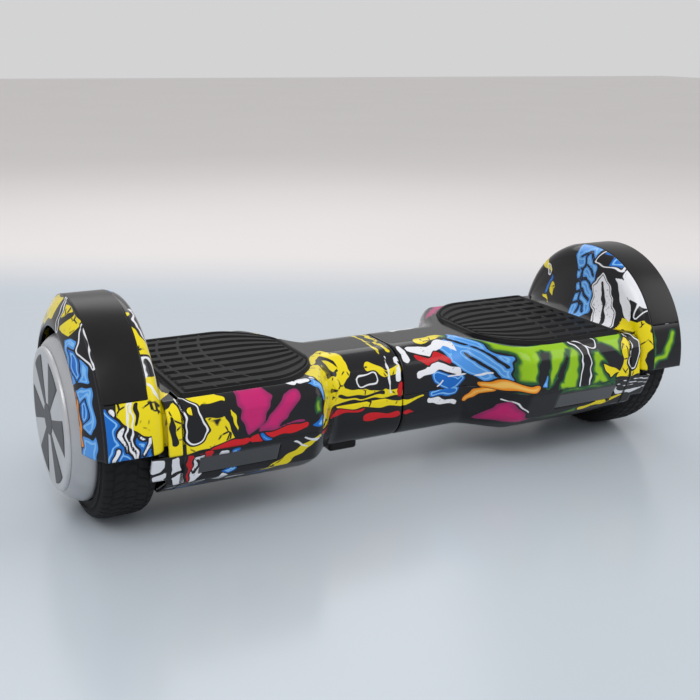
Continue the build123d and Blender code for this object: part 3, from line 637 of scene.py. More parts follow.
def paint_lower(side_name, points, run):
    """Draw a lower shell by x and the run down from the parting line."""
    x, y = points[..., 0], points[..., 1]
    front = y < 4
    tub = Film(x, run, front)
    if side_name == "left":
        tub.blot("white", (240, 1), (229, 1), (224, 26), (236, 30))
        tub.brush("black", [(242, 20), (222, 9)], 1.1)
        tub.blot("white", (225, 1), (217, 1), (211, 30), (219, 34))
        tub.brush("black", [(226, 22), (209, 15)], 1.0)
        tub.blot("red", (211, 1), (190, 0), (193, 20), (206, 34), (211, 34))
        tub.blot("white", (206, 3), (197, 2), (200, 12), (195, 20), (202, 30), (209, 32), (207, 18))
        tub.brush("black", [(203, 8), (201, 14), (204, 20)], 0.9)
        tub.blot("white", (187, 1), (178, 1), (178, 14), (186, 20))
        tub.blot("blue", (176, 2), (168, 2), (170, 12), (178, 14))
        tub.brush("blue", [(178, 26), (166, 17)], 3.4)
        tub.blot("white", (190, 34), (180, 26), (174, 30), (180, 40))
        tub.rim([(222, 42), (206, 40), (194, 32)], 1.0, 4.0, 1.0)
        tub.brush("blue", [(214, 50), (188, 46)], 4.0, 2.0)
        tub.brush("white", [(172, 40), (136, 44)], 3.0, 1.5)
        tub.brush("blue", [(154, 42), (138, 42)], 2.0, 3.0)
        tub.brush("yellow", [(146, 34), (130, 26), (116, 16), (102, 4)], 2.0, 5.0, 4.0, 1.5)
        tub.pen([(124, 6), (112, 14)])
        tub.pen([(116, 2), (104, 8), (94, 0)])
        tub.brush("red", [(98, 3), (82, 5)], 3.0, 2.0)
        tub.brush("red", [(74, 6), (40, 4)], 2.0, 4.0)
        tub.brush("yellow", [(64, 0), (30, 2), (2, 6)], 3.0, 4.5, 3.0)
        tub.brush("red", [(36, 14), (4, 16)], 4.0, 2.5)
    else:
        tub.brush("yellow", [(2, 6), (22, 3)], 3.0, 1.0)
        tub.brush("red", [(2, 16), (16, 14)], 2.5, 1.0)
        tub.brush("orange", [(64, 12), (72, 4), (80, 0)], 3.0, 4.0)
        tub.brush("white", [(28, 8), (54, 14)], 4.0, 2.0)
        tub.brush("blue", [(30, 2), (52, 2)], 4.0, 5.0)
        tub.blot("magenta", (70, 34), (90, 8), (110, 30), (104, 38))
        tub.pen([(86, 8), (96, 12), (106, 22)])
        tub.brush("green", [(126, 36), (150, 31), (174, 27)], 3.0, 4.0, 3.0)
        tub.brush("yellow", [(166, 28), (192, 24), (222, 17)], 2.0, 3.4, 1.6)
        tub.brush("green", [(138, 2), (196, 3)], 3.0)
        for step in range(3):
            tub.brush("white", [(199, 2 + 3.4 * step), (242, 1 + 3.4 * step)], 1.05)
        tub.brush("white", [(194, 5), (204, 15), (220, 17), (240, 12)], 1.0, 2.6, 2.2, 1.4)
    belly = Film(x, run, ~front)
    belly.scatter(21 + SIDES[side_name], 44, ((10, 96), (226, 260)), ("yellow", "blue", "green", "magenta", "red"))
    return tub.over(belly).layers


# %% Arch panels


def paint_arch(side_name, points, angles):
    """Draw an arch: the skirt by (arc, radius), the crown by (x, arc), the flank by (y, height).

    Arc is the angle about the axle times the arch radius, from 0 at the front.
    """
    x = points[..., 0]
    radius = np.hypot(points[..., 1], points[..., 2] - axle_z)
    arc = angles[:, None] * arch_radius + 0 * x
    on_skirt = x > crown_out - 2.0
    on_flank = x < crown_in
    on_crown = ~on_skirt & ~on_flank
    skirt = Film(arc, radius, on_skirt)
    crown = Film(x, arc, on_crown & (arc < 80))
    high, depth = points[..., 2] - parting_z, points[..., 1]
    flank = Film(depth, high, on_flank)
    toe = Film(x, high, on_flank & (depth < -62))
    if side_name == "left":
        skirt.blot("yellow", (104, 95), (106, 82), (126, 76), (146, 84), (150, 92))
        skirt.blot("yellow", (152, 94), (156, 78), (190, 74), (222, 80), (262, 92), (230, 96))
        skirt.brush("black", [(122, 92), (132, 80)], 1.6, 3.0)
        skirt.rim([(150, 96), (140, 84), (134, 74)], 0.8, 3.0, 2.0)
        skirt.blot("sky", (110, 76), (102, 84), (84, 90), (60, 90), (-14, 88), (-14, 73), (60, 72), (90, 72))
        skirt.blot("blue", (98, 78), (88, 84), (66, 84), (60, 77), (78, 74))
        skirt.blot("blue", (46, 84), (28, 84), (24, 77), (42, 76))
        skirt.brush("black", [(60, 72), (52, 92)], 1.6)
        skirt.brush("black", [(20, 72), (12, 84), (24, 92)], 1.3)
        skirt.brush("orange", [(60, 73.5), (4, 73.5)], 1.2, 2.2)
        skirt.rim([(104, 95), (86, 90), (66, 93)], 1.0, 4.6, 1.0)
        crown.blot("blue", (276, 34), (238, 34), (238, -12), (276, -12))
        crown.brush("white", [(266, 32), (244, 8)], 2.2, 1.4)
        crown.brush("white", [(248, 30), (262, 14), (256, 2)], 1.2, 2.6, 1.2)
        crown.brush("white", [(264, 2), (268, -8)], 2.2)
        crown.brush("white", [(238, 12), (244, -2)], 2.4, 1.6)
        crown.rim([(252, 36), (255, 14), (250, -8)], 1.2, 2.0, 1.0)
        crown.blot("yellow", (264, 40), (226, 40), (226, 12), (240, 9), (252, 15), (263, 27))
        crown.brush("black", [(248, 34), (249, 20)], 0.8)
        toe.blot("yellow", (242, 60), (242, 28), (232, 20), (226, 24), (226, 60))
        toe.blot("black", (241, 18), (228, 22), (228, -6), (241, -6))
        toe.blot("yellow", (227, -2), (227, 36), (214, 44), (214, -4))
        toe.brush("black", [(222, 34), (221, 12)], 1.4, 2.6)
        flank.brush("sky", [(44, 92), (26, 100), (8, 102)], 4.0, 5.5)
        flank.outline("yellow", (16, 97), (-16, 97), (-26, 84), (14, 76))
        flank.rim([(-2, 76), (-22, 74), (-40, 70)], 3.0, 6.0, 3.0)
        flank.blot("yellow", (-20, 92), (-38, 100), (-66, 88), (-88, 62), (-100, 30), (-100, 4), (-80, 0), (-70, 24),
                   (-56, 50), (-38, 66))
        flank.rim([(-30, 96), (-46, 86), (-58, 74)], 1.5, 5.0, 1.5)
        flank.rim([(-70, 72), (-80, 56), (-84, 44)], 1.0, 3.4, 1.0)
        flank.brush("black", [(-60, 74), (-78, 46), (-86, 24)], 0.9)
        flank.scatter(31, 14, ((10, 45), (84, 95)), ("blue", "yellow", "green", "magenta"))
    else:
        crown.brush("green", [(262, 28), (252, 8), (240, 4)], 5.0)
        crown.brush("green", [(236, 32), (236, -2)], 5.0)
        skirt.blot("red", (118, 95), (104, 95), (106, 84), (118, 82))
        skirt.blot("green", (100, 95), (20, 95), (10, 84), (60, 76), (98, 82))
        skirt.rim([(70, 88), (44, 84)], 3.0, 5.0)
        toe.blot("yellow", (232, 0), (233, 46), (222, 50), (210, 40), (214, 0))
        toe.brush("black", [(222, 34), (220, 12)], 4.2, 3.0)
        flank.blot("yellow", (-90, 12), (-95, 34), (-84, 52), (-70, 40), (-62, 22), (-70, 10))
        flank.rim([(-80, 66), (-76, 52)], 4.5, 2.0)
        flank.blot("sky", (14, 106), (2, 112), (-16, 108), (-20, 90), (-26, 44), (-8, 34), (-2, 40), (6, 80))
        for level in (48, 58, 70, 82, 94):
            flank.brush("blue", [(4, level), (-8, level + 6), (-18, level - 2)], 0.9)
        flank.brush("blue", [(-10, 44), (-2, 76), (-6, 100)], 0.8)
        flank.outline("blue", (-16, 92), (-22, 106), (-40, 104), (-50, 90))
        flank.brush("black", [(-20, 98), (-30, 94)], 4.0)
        flank.blot("white", (-48, 101), (-60, 98), (-90, 66), (-84, 58), (-62, 70), (-52, 84))
        flank.outline("white", (-20, 70), (-30, 84), (-42, 74), (-58, 40), (-56, 26), (-38, 34), (-26, 52))
        flank.blot("white", (-46, 84), (-56, 82), (-72, 58), (-70, 44), (-58, 58))
        flank.brush("black", [(-30, 76), (-42, 48), (-52, 32)], 1.0)
        flank.blot("red", (-80, 78), (-88, 74), (-92, 66), (-82, 64))
        flank.blot("yellow", (34, 42), (34, 60), (46, 64), (54, 46))
        flank.brush("black", [(36, 46), (50, 56)], 2.0)
        flank.pen([(60, 30), (50, 36), (30, 34), (10, 28)])
        flank.scatter(32, 7, ((44, 50), (84, 90)), ("blue", "yellow", "green", "magenta"))
    rear = Film(x, arc - math.pi * arch_radius, on_crown & (arc > 200))
    rear.scatter(41 + SIDES[side_name], 14, ((232, -34), (268, 6)), ("green", "yellow", "blue", "magenta"))
    skirt_rear = Film(arc, radius, on_skirt & (arc > 150))
    if side_name == "right":
        skirt_rear.scatter(51, 12, ((150, 78), (290, 92)), ("yellow", "blue", "magenta", "sky"))
    return skirt.over(crown).over(toe.over(flank)).over(rear).over(skirt_rear).layers


# %% [markdown]
# ## Building the shells
# A moulded shell is a thin wall. So only its outer skin is worked out, and a Solidify modifier gives it
# the wall. The lamp opening and the charging port are faces left out of the grid, on the grid's own
# lines, which gives clean edges without cutting.

# %% Build the printed shells
hub_clear = 12.0                  # the wall towards the tyre starts this far from the axle line
lamp_columns = slice(3, 14)       # faces of the front wall between the lamp's two edges
run_on_low = 52.0                 # below this height the run-on past the tyre is open


def well_wall_grid(lines):
    """The wall that closes the deck towards the tyre: from the axle hole straight out to the section."""
    outline = lines(np.array([deck_end]))[0]
    away = outline[:, 1:] - (0, axle_z)
    length = np.linalg.norm(away, axis=1, keepdims=True)
    share = np.linspace(0, 1, 24)[:, None, None]
    flat = (0, axle_z) + away / length * (hub_clear + share * (length - hub_clear))
    return np.concatenate([np.full(flat.shape[:2] + (1,), deck_end), flat], 2)


port_low, port_high = limits("charge_socket")
switch_low, switch_high = limits("power_switch")

for side_name, side in SIDES.items():
    x_upper = joined(steps(seam_x, neck_start, 1.3), steps(neck_start, deck_end, 1.15),
                     steps(deck_end, collar_end, 1.5))
    upper = upper_lines(x_upper)
    run = run_length(upper)
    print_upper = paint_upper(side_name, upper, run)
    upper = soft_rim(upper, x_upper, run)
    arch, arch_angles, under_band = arch_grid()
    top_piece = new_piece(f"{side_name}_top_shell", [
        {"points": upper, **print_upper},
        {"points": well_wall_grid(upper_lines), "flip": True},
    ], side, LAYERS)
    arch_piece = new_piece(f"{side_name}_wheel_arch", [
        {"points": arch, "hole": under_band, "flip": True, **paint_arch(side_name, arch, arch_angles)},
    ], side, LAYERS)
    x_lower = joined(steps(seam_x, neck_start, 1.5), steps(neck_start, lens_low[0], 1.5),
                     steps(lens_low[0], lens_high[0], 1.5), steps(lens_high[0], lower_end, 1.5))
    lower = lower_lines(x_lower)
    run = run_length(lower)
    print_lower = paint_lower(side_name, lower, run)
    lower = soft_rim(lower, x_lower, run)
    rows = x_lower[:-1] + 0.1
    window = np.zeros((len(x_lower) - 1, lower.shape[1] - 1), bool)
    lamp_rows = np.flatnonzero((rows > lens_low[0]) & (rows < lens_high[0]))
    window[lamp_rows, lamp_columns] = True
    lens_points = lower[lamp_rows[0]:lamp_rows[-1] + 2, lamp_columns.start:lamp_columns.stop + 1] * (1, 0.997, 1)
    middle = (lower[:-1, :-1] + lower[1:, 1:]) / 2
    beside_tyre = (np.abs(middle[..., 1]) < tyre_radius - 1) | (middle[..., 2] < run_on_low)
    window |= (middle[..., 0] > collar_end) & beside_tyre
    if side_name == "left":
        in_port = (middle[..., 0] > 26) & (middle[..., 0] < 60) & (middle[..., 1] > 30)
        window |= in_port & (middle[..., 2] > port_low[2] - 1) & (middle[..., 2] < port_high[2] + 1)
    bottom_piece = new_piece(f"{side_name}_bottom_shell", [
        {"points": lower, "hole": window, "flip": True, **print_lower},
        {"points": well_wall_grid(lower_lines)},
    ], side, LAYERS)
    lens = new_piece(f"{side_name}_lamp_lens", [{"points": lens_points, "flip": True}], side)
    finish_piece(thicken(lens, 2.0), f"{side_name}_half", "smoked_lens", f"{side_name}_led_lens")
    finish_piece(thicken(top_piece, wall), f"{side_name}_half", "printed_shell", f"{side_name}_upper_shell")
    finish_piece(thicken(arch_piece, wall), f"{side_name}_half", "printed_shell")
    finish_piece(thicken(bottom_piece, wall), f"{side_name}_half", "printed_shell", f"{side_name}_lower_shell")

# %% [markdown]
# ## Band, tyre and hub
# The band, tyre, dish and plate are outlines turned about the axle, as a lathe would cut them. The
# tread is then pressed into the tyre's own points, so that its blocks show at the edge of the tyre too.

# %% Turned pieces


def rounded(corners, radius, count=5):
    """Replace each corner of a closed outline by an arc-like quadratic curve that starts radius away."""
    corners = np.array(corners, float)
    outline = []
    for before, here, after in zip(np.roll(corners, 1, 0), corners, np.roll(corners, -1, 0)):
        back, ahead = np.linalg.norm(before - here), np.linalg.norm(after - here)
        first = here + (before - here) / back * min(radius, back / 2)
        last = here + (after - here) / ahead * min(radius, ahead / 2)
        for share in np.linspace(0, 1, count):
            outline.append(first * (1 - share) ** 2 + 2 * here * share * (1 - share) + last * share ** 2)
    return np.array(outline)


def rings(points):
    """A closed grid of outline rows, plus rows that draw its two ends together to their middles."""
    first, last = points[:1], points[-1:]
    shrink = (0.0, 0.5, 0.9)
    head = [mix(first.mean(1, keepdims=True), first, share) for share in shrink]
    tail = [mix(last.mean(1, keepdims=True), last, share) for share in shrink[::-1]]
    return np.concatenate(head + [points] + tail)


band_outline = rounded([
    (crown_in - 0.8, arch_radius - crown_edge), (crown_out - 1.4, arch_radius - crown_edge),
    (crown_out - 1.4, arch_radius + 0.3), (crown_in - 0.8, arch_radius + 0.3)], 0.7)
band_angles = np.linspace(band_start + 0.004, math.pi - band_start - 0.004, 220)

tyre_outline = [(tyre_in + 0.6, rim_radius + 0.2), (tyre_in + 0.2, rim_radius + 3), (tyre_in, rim_radius + 8)]
tread_half = (tyre_out - tyre_in) / 2
tread_middle = (tyre_out + tyre_in) / 2
lane_width = 9.0                  # the tread has seven lanes of blocks round the tyre
lanes_half = 3.5 * lane_width
groove_depth = 1.1
for lean in np.linspace(-1, 1, 57):
    drop = 9.0 * (1 - (1 - abs(lean) ** 5.0) ** 0.5) if abs(lean) < 1 else 9.0
    tyre_outline.append((tread_middle + lean * tread_half, tyre_radius - drop))
tyre_outline += [(tyre_out, rim_radius + 8), (tyre_out - 0.2, rim_radius + 3), (tyre_out - 0.6, rim_radius + 1.2)]
tyre_angles = np.linspace(0, 2 * math.pi, 721)


def treaded(points, angles):
    """Press grooves into the tread: one round the tyre at each lane's edge, and short ones across.

    An across groove lies where cos(60 angle + half a turn for each lane) is near its crest. All fade out
    before the shoulder.
    """
    x = points[..., 0] - tread_middle
    radius = np.hypot(points[..., 1], points[..., 2] - axle_z)
    outward = np.clip((radius - (tyre_radius - 3.5)) / 1.5, 0, 1)
    lanes = (x + lanes_half) / lane_width
    lane = np.floor(lanes)
    across = np.cos(60 * angles[:, None] + math.pi * lane + 0.25 * np.abs(x))
    groove = np.clip((across - 0.62) / 0.22, 0, 1)
    lane_edge = np.abs(lanes - np.round(lanes)) * lane_width
    groove = np.maximum(groove, np.clip((1.1 - lane_edge) / 0.6, 0, 1)) * outward
    cut = 1 - groove_depth * groove / radius
    points[..., 1] *= cut
    points[..., 2] = axle_z + (points[..., 2] - axle_z) * cut
    return points


cover_face = cap_low[0]
full_turn = np.linspace(0, 2 * math.pi, 241)
cover_outline = rounded([
    (cover_low[0], rim_radius - 12), (cover_low[0], rim_radius + 1), (tyre_out + 5, rim_radius + 0.6),
    (tyre_out + 12, rim_radius - 3.2), (cover_face, cap_high[2] - axle_z + 1.4), (cover_face - 0.6, 30),
    (cover_face - 4, 30)], 2.6, 7)
cap_radius = cap_high[2] - axle_z
arm_reach = spoke_high[2] - axle_z

cap_line = [(0.0, 0.5), (14, 0.45), (cap_radius - 4.0, 0.1), (cap_radius - 2.4, 0.0), (cap_radius - 0.9, -0.35),
            (cap_radius - 0.2, -1.1), (cap_radius, -2.0), (cap_radius, -3.0)]


def blade_grid(turn):
    """One dark blade: (cover depth, angle, radius), 7.2 mm wide at the neck and 33 degrees at the rim."""
    radius = np.linspace(9.0, arm_reach, 30)[:, None]
    across = np.linspace(-1, 1, 15)[None, :]
    half_width = mix(3.4, math.radians(16.5) * arm_reach, np.clip((radius - 11) / (arm_reach - 11), 0, 1))
    lateral = across * half_width
    tip = np.sqrt(np.maximum(radius ** 2 - lateral ** 2 * (radius / arm_reach) ** 2, 0))
    ahead = np.array([math.cos(turn), math.sin(turn)])
    y = tip * ahead[0] - lateral * ahead[1]
    z = tip * ahead[1] + lateral * ahead[0]
    edge = np.minimum((1 - np.abs(across)) * half_width, arm_reach - radius)
    x = hub_face - 0.35 - 0.45 * np.exp(-edge / 0.5)
    return np.stack([x + 0 * y, y, axle_z + z], 2)


def middle_disc():
    """The round middle where the six blades meet."""
    radius = np.linspace(0.05, 12.5, 10)[:, None]
    angle = np.linspace(0, 2 * math.pi, 73)[None, :-1]
    x = hub_face - 0.3 + 0 * radius * angle
    return np.stack([x, radius * np.cos(angle), axle_z + radius * np.sin(angle)], 2)


for side_name, side in SIDES.items():
    band = new_piece(f"{side_name}_arch_band", [
        {"points": rings(turned(band_outline, band_angles)), "wrap": True}], side)
    finish_piece(weld(band), f"{side_name}_half", "band_plastic", f"{side_name}_fender_band")
    tyre = new_piece(f"{side_name}_treaded_tyre", [
        {"points": treaded(turned(tyre_outline, tyre_angles), tyre_angles)}], side)
    finish_piece(weld(tyre), f"{side_name}_wheel", "tyre_rubber", f"{side_name}_tyre")
    cover = new_piece(f"{side_name}_hub_dish", [
        {"points": turned(cover_outline, full_turn), "wrap": True}], side)
    finish_piece(weld(cover), f"{side_name}_wheel", "silver_paint", f"{side_name}_motor_cover")
    cap_points = turned([(hub_face - 1 + rise, max(radius, 0.02)) for radius, rise in cap_line], full_turn)
    cap = new_piece(f"{side_name}_hub_plate", [{"points": cap_points}], side)
    finish_piece(weld(cap), f"{side_name}_wheel", "silver_plastic", f"{side_name}_hub_cap")
    blades = [{"points": blade_grid(math.radians(60 * arm))} for arm in range(6)]
    star = new_piece(f"{side_name}_hub_star", blades + [{"points": middle_disc(), "wrap": True}], side)
    finish_piece(thicken(weld(star), 0.5), f"{side_name}_wheel", "dark_plastic", f"{side_name}_hub_spokes")

# %% [markdown]
# ## Foot pads
# A pad is moulded rubber, so it is a height field: a rounded rim, lengthwise ribs that follow its
# outline, and three thin ribs that curve across them. Real ribs catch the light as a bump map cannot.

# %% Foot pads
pad_top = pad_high[2]
rib_height = 1.7
rib_waves = 10


def pad_grid():
    """Height field of the pad over x and a share v of its half width.

    Its outline is a nose that swells to full width, with rounded far corners. Height is a rim that rises
    along a quarter wave, then ribs: the crests of cos(10 pi v), flattened by a clip.
    """
    length = pad_high[0] - pad_low[0]
    share = 0.5 - 0.5 * np.cos(np.linspace(0, math.pi, 170))
    share = 0.25 * share + 0.75 * np.linspace(0, 1, 170)
    x = pad_low[0] + share * length
    swelling = np.clip((x - pad_low[0]) / 52.0, 0, 1)
    half = mix(34.0, pad_high[1], np.sin(swelling * math.pi / 2) ** 0.9)
    near = np.minimum((x - pad_low[0]) / 16.0, 1)
    far = np.minimum((pad_high[0] - x) / 9.0, 1)
    half = half * (1 - (1 - near) ** 2.6) ** 0.4
    half = half - 7.0 * (1 - np.sqrt(np.maximum(1 - (1 - far) ** 2, 0)))
    v = np.linspace(-1, 1, 211)
    y = half[:, None] * v[None, :]
    to_end = np.minimum(x - pad_low[0], pad_high[0] - x)[:, None]
    inward = np.minimum((1 - np.abs(v))[None, :] * half[:, None], to_end)
    rim = np.clip(inward / 3.0, 0, 1)
    base = deck_top - 0.8 + (pad_top - 1.9 - deck_top + 0.8) * np.sin(rim * math.pi / 2)
    wave = np.cos(rib_waves * math.pi * v)[None, :] + 0 * y
    inside = np.clip((inward - 7.5) / 1.6, 0, 1)
    rib = np.clip((wave + 0.35) / 0.35, 0, 1) * inside
    crossing = np.zeros_like(y)
    for start in (0.60, 0.74, 0.88):
        curve = pad_low[0] + length * (start - 0.16 * np.abs(v[None, :]) ** 2)
        crossing = np.maximum(crossing, np.clip((1.9 - np.abs(x[:, None] - curve)) / 0.8, 0, 1))
    crossing *= inside
    lip = np.clip((inward - 2.5) / 1.0, 0, 1) * np.clip((7.0 - inward) / 1.2, 0, 1)
    height = base + rib_height * np.maximum(np.maximum(rib, crossing), lip)
    return np.stack([x[:, None] + 0 * y, y, height], 2)


for side_name, side in SIDES.items():
    pad = new_piece(f"{side_name}_ribbed_pad", [{"points": pad_grid()}], side)
    finish_piece(thicken(pad, 1.2), f"{side_name}_half", "pad_rubber", f"{side_name}_footpad")

# %% [markdown]
# ## Charging panel and belly block
# Only the left half has these two. They are plain boxes with rounded edges, so a Bevel modifier is
# enough, and two round bars cut the holes for the charging port and the power button.

# %% Left waist


def cutter(x, z, radius, y):
    """A round bar along Y, used once to cut a hole and then removed."""
    bpy.ops.mesh.primitive_cylinder_add(vertices=64, radius=radius * MM, depth=60 * MM,
                                        location=(x * MM, y * MM, z * MM), rotation=(math.pi / 2, 0, 0))
    return bpy.context.object


def soft_block(name, low, high, radius):
    """A box with rounded edges between two corners in millimetres."""
    corners = [(x * MM, y * MM, z * MM)
               for x in (low[0], high[0]) for y in (low[1], high[1]) for z in (low[2], high[2])]
    faces = [(0, 1, 3, 2), (4, 6, 7, 5), (0, 4, 5, 1), (2, 3, 7, 6), (0, 2, 6, 4), (1, 5, 7, 3)]
    mesh = bpy.data.meshes.new(name)
    mesh.from_pydata(corners, [], faces)
    piece = put_in_scene(name, mesh)
    edge = piece.modifiers.new("edge", "BEVEL")
    edge.width = radius * MM
    edge.segments = 4
    return piece


port_x, port_z = (port_low[0] + port_high[0]) / 2, (port_low[2] + port_high[2]) / 2
switch_x, switch_z = (switch_low[0] + switch_high[0]) / 2, (switch_low[2] + switch_high[2]) / 2
panel = soft_block("left_port_panel", (-63, 40, 47), (-22, half_waist + 1, 70), 2.5)
for x, z, radius in ((port_x, port_z, 6.2), (switch_x, switch_z, 8.2)):
    bar = cutter(x, z, radius, 44)
    hole = panel.modifiers.new("hole", "BOOLEAN")
    hole.operation = "DIFFERENCE"
    hole.object = bar
    with bpy.context.temp_override(object=panel, active_object=panel, selected_objects=[panel]):
        for step in list(panel.modifiers):
            bpy.ops.object.modifier_apply(modifier=step.name)
    bpy.data.objects.remove(bar, do_unlink=True)
finish_piece(panel, "left_half", "band_plastic")
block_piece = soft_block("left_belly_block", (-60, -24, tub_left_bottom), (-33, 24, belly_z + 3), 3.0)
finish_piece(block_piece, "left_half", "band_plastic")
print("port", port_x, port_z, "button", switch_x, switch_z)

# %% [markdown]
# ## Finishes
# One small class writes shader maths with ordinary operators, and one method makes any node. The print
# reads its stored distances; every other finish is a base colour with a slow tint, a fine grain and
# its own roughness.

# %% Shader tools


def add_node(tree, kind, settings=None, sockets=None):
    """Make a node, set its fields, then fill sockets, by name or number, with values or links."""
    made = tree.nodes.new(kind)
    for key, value in (settings or {}).items():
        setattr(made, key, value)
    for key, value in (sockets or {}).items():
        value = value.socket if isinstance(value, Wire) else value
        if isinstance(value, bpy.types.NodeSocket):
            tree.links.new(value, made.inputs[key])
        else:
            made.inputs[key].default_value = value
    return made


class Wire:
    """A number in a shader. Arithmetic on wires makes Math nodes."""

    def __init__(self, tree, socket):
        self.tree = tree
        self.socket = socket

    def math(self, operation, *values):
        made = add_node(self.tree, "ShaderNodeMath", {"operation": operation}, dict(enumerate(values)))
        return Wire(self.tree, made.outputs[0])

    def __add__(self, other):
        return self.math("ADD", self, other)

    def __sub__(self, other):
        return self.math("SUBTRACT", self, other)

    def __rsub__(self, other):
        return self.math("SUBTRACT", other, self)

    def __mul__(self, other):
        return self.math("MULTIPLY", self, other)

    __radd__ = __add__
    __rmul__ = __mul__

    def least(self, other):
        return self.math("MINIMUM", self, other)

    def size(self):
        return self.math("ABSOLUTE", self)

    def sine(self):
        return self.math("SINE", self)

    def ramp(self, start, stop):
        """0 at start and 1 at stop, smooth between."""
        made = add_node(self.tree, "ShaderNodeMapRange", {"interpolation_type": "SMOOTHSTEP"},
                        {"Value": self, "From Min": start, "From Max": stop})
        return Wire(self.tree, made.outputs["Result"])


class Finish:
    """A material with one Principled shader, built up by wires."""

    def __init__(self, name, colour, roughness, metallic=0.0, coat=0.0, shine=0.5):
        self.material = bpy.data.materials.new(name)
        self.material.use_nodes = True
        self.tree = self.material.node_tree
        self.shader = self.tree.nodes["Principled BSDF"]
        for key, value in {"Base Color": (*colour, 1), "Roughness": roughness, "Metallic": metallic,
                           "Coat Weight": coat, "Coat Roughness": 0.04, "Specular IOR Level": shine}.items():
            self.shader.inputs[key].default_value = value
        self.place = self.node("ShaderNodeTexCoord").outputs["Object"]

    def node(self, kind, settings=None, sockets=None):
        return add_node(self.tree, kind, settings, sockets)

    def stored(self, name):
        """A number that the mesh stores at its points."""
        return Wire(self.tree, self.node("ShaderNodeAttribute", {"attribute_name": name}).outputs["Fac"])

    def noise(self, scale, detail=3.0):
        made = self.node("ShaderNodeTexNoise", None, {"Vector": self.place, "Scale": scale, "Detail": detail})
        return Wire(self.tree, made.outputs[0])

    def cells(self, scale):
        """Distance to the nearest border of a pattern of cells."""
        made = self.node("ShaderNodeTexVoronoi", {"feature": "DISTANCE_TO_EDGE"},
                         {"Vector": self.place, "Scale": scale})
        return Wire(self.tree, made.outputs["Distance"])

    def axis(self, name):
        return Wire(self.tree, self.node("ShaderNodeSeparateXYZ", None, {"Vector": self.place}).outputs[name])

    def blend(self, factor, under, over):
        """Colour mix; under and over are colours or sockets."""
        under, over = [(*value, 1) if isinstance(value, tuple) else value for value in (under, over)]
        made = self.node("ShaderNodeMix", {"data_type": "RGBA"}, {0: factor, 6: under, 7: over})
        return made.outputs[2]

    def drive(self, name, value):
        self.tree.links.new(value.socket if isinstance(value, Wire) else value, self.shader.inputs[name])

    def bump(self, height, strength, distance):
        made = self.node("ShaderNodeBump", None, {"Height": height, "Strength": strength, "Distance": distance})
        self.drive("Normal", made.outputs[0])


def plain(name, colour, roughness, metallic=0.0, coat=0.0, grain=900.0, depth=0.02, tint=0.12, shine=0.5):
    """A finish with a faint cloudy tint, a varying roughness and a fine grain of the given depth in mm."""
    finish = Finish(name, colour, roughness, metallic, coat, shine)
    cloud = finish.noise(60.0)
    darker = tuple(channel * (1 - tint) for channel in colour)
    lighter = tuple(min(1, channel * (1 + tint)) for channel in colour)
    finish.drive("Base Color", finish.blend(cloud.ramp(0.3, 0.7), darker, lighter))
    finish.drive("Roughness", roughness - 0.04 + 0.08 * cloud)
    if depth:
        finish.bump(finish.noise(grain, 2.0), 0.6, depth * MM)
    return finish


# %% The print
BLACK = (0.009, 0.009, 0.011)
COLOURS = {
    "green": (0.30, 0.56, 0.008), "magenta": (0.54, 0.014, 0.15), "blue": (0.006, 0.15, 0.58),
    "sky": (0.08, 0.32, 0.80), "yellow": (0.86, 0.70, 0.006), "orange": (0.86, 0.27, 0.008),
    "red": (0.60, 0.008, 0.014), "white": (0.84, 0.85, 0.89),
}


def print_finish():
    """Glossy black plastic under a printed film.

    Each ink shows where its distance is below about -0.55 mm, so two neighbours leave a dark gap. Green
    and magenta fade to a dark edge, yellow is broken by cracks, the blues have a paler inner contour.
    """
    finish = Finish("printed_film", BLACK, 0.16, 0.0, 0.12, 0.25)
    speck = finish.noise(420.0, 2.0)
    cloud = finish.noise(38.0)
    waver = (cloud - 0.5) * 1.2
    colour = BLACK
    crack = finish.cells(95.0).ramp(0.075, 0.035) * finish.noise(70.0, 2.0).ramp(0.52, 0.60)
    for ink in INKS:
        distance = finish.stored(ink) + waver * 0.4
        shade = COLOURS[ink]
        if ink == "green":
            shade = finish.blend(distance.ramp(-4.6, -1.6), COLOURS[ink], (0.012, 0.09, 0.03))
        if ink == "magenta":
            shade = finish.blend(distance.ramp(-5.0, -0.8), COLOURS[ink], (0.30, 0.02, 0.12))
        if ink in ("blue", "sky"):
            contour = (distance + 2.4).size().ramp(0.75, 0.35)
            shade = finish.blend(contour, COLOURS[ink], (0.22, 0.52, 0.92))
        if ink == "orange":
            shade = finish.blend(distance.ramp(-3.4, -1.2), (0.95, 0.56, 0.12), COLOURS[ink])
        if ink == "yellow":
            shade = finish.blend(crack * distance.ramp(-0.4, -1.4), COLOURS[ink], BLACK)
        if ink == "white":
            worn = speck.ramp(0.60, 0.68) * cloud.ramp(0.5, 0.6)
            shade = finish.blend(worn, COLOURS[ink], (0.35, 0.36, 0.42))
        colour = finish.blend(distance.ramp(-0.40, -0.75), colour, shade)
    line = finish.stored("line").least(finish.stored("loop").size() - 0.62)
    colour = finish.blend(line.ramp(0.18, -0.18), colour, COLOURS["white"])
    finish.drive("Base Color", colour)
    finish.drive("Roughness", 0.13 + 0.07 * cloud)
    finish.bump(finish.noise(1400.0, 1.0), 0.25, 0.01 * MM)
    return finish


# %% [markdown]
# ## One finish for each material slot
# The CAD record names a slot for every node. Most slots are a plain finish. Stacked sheets and wire
# windings are stripes along an axis, the loom is a weave, and the board has copper traces.

# %% Everything else, by material slot


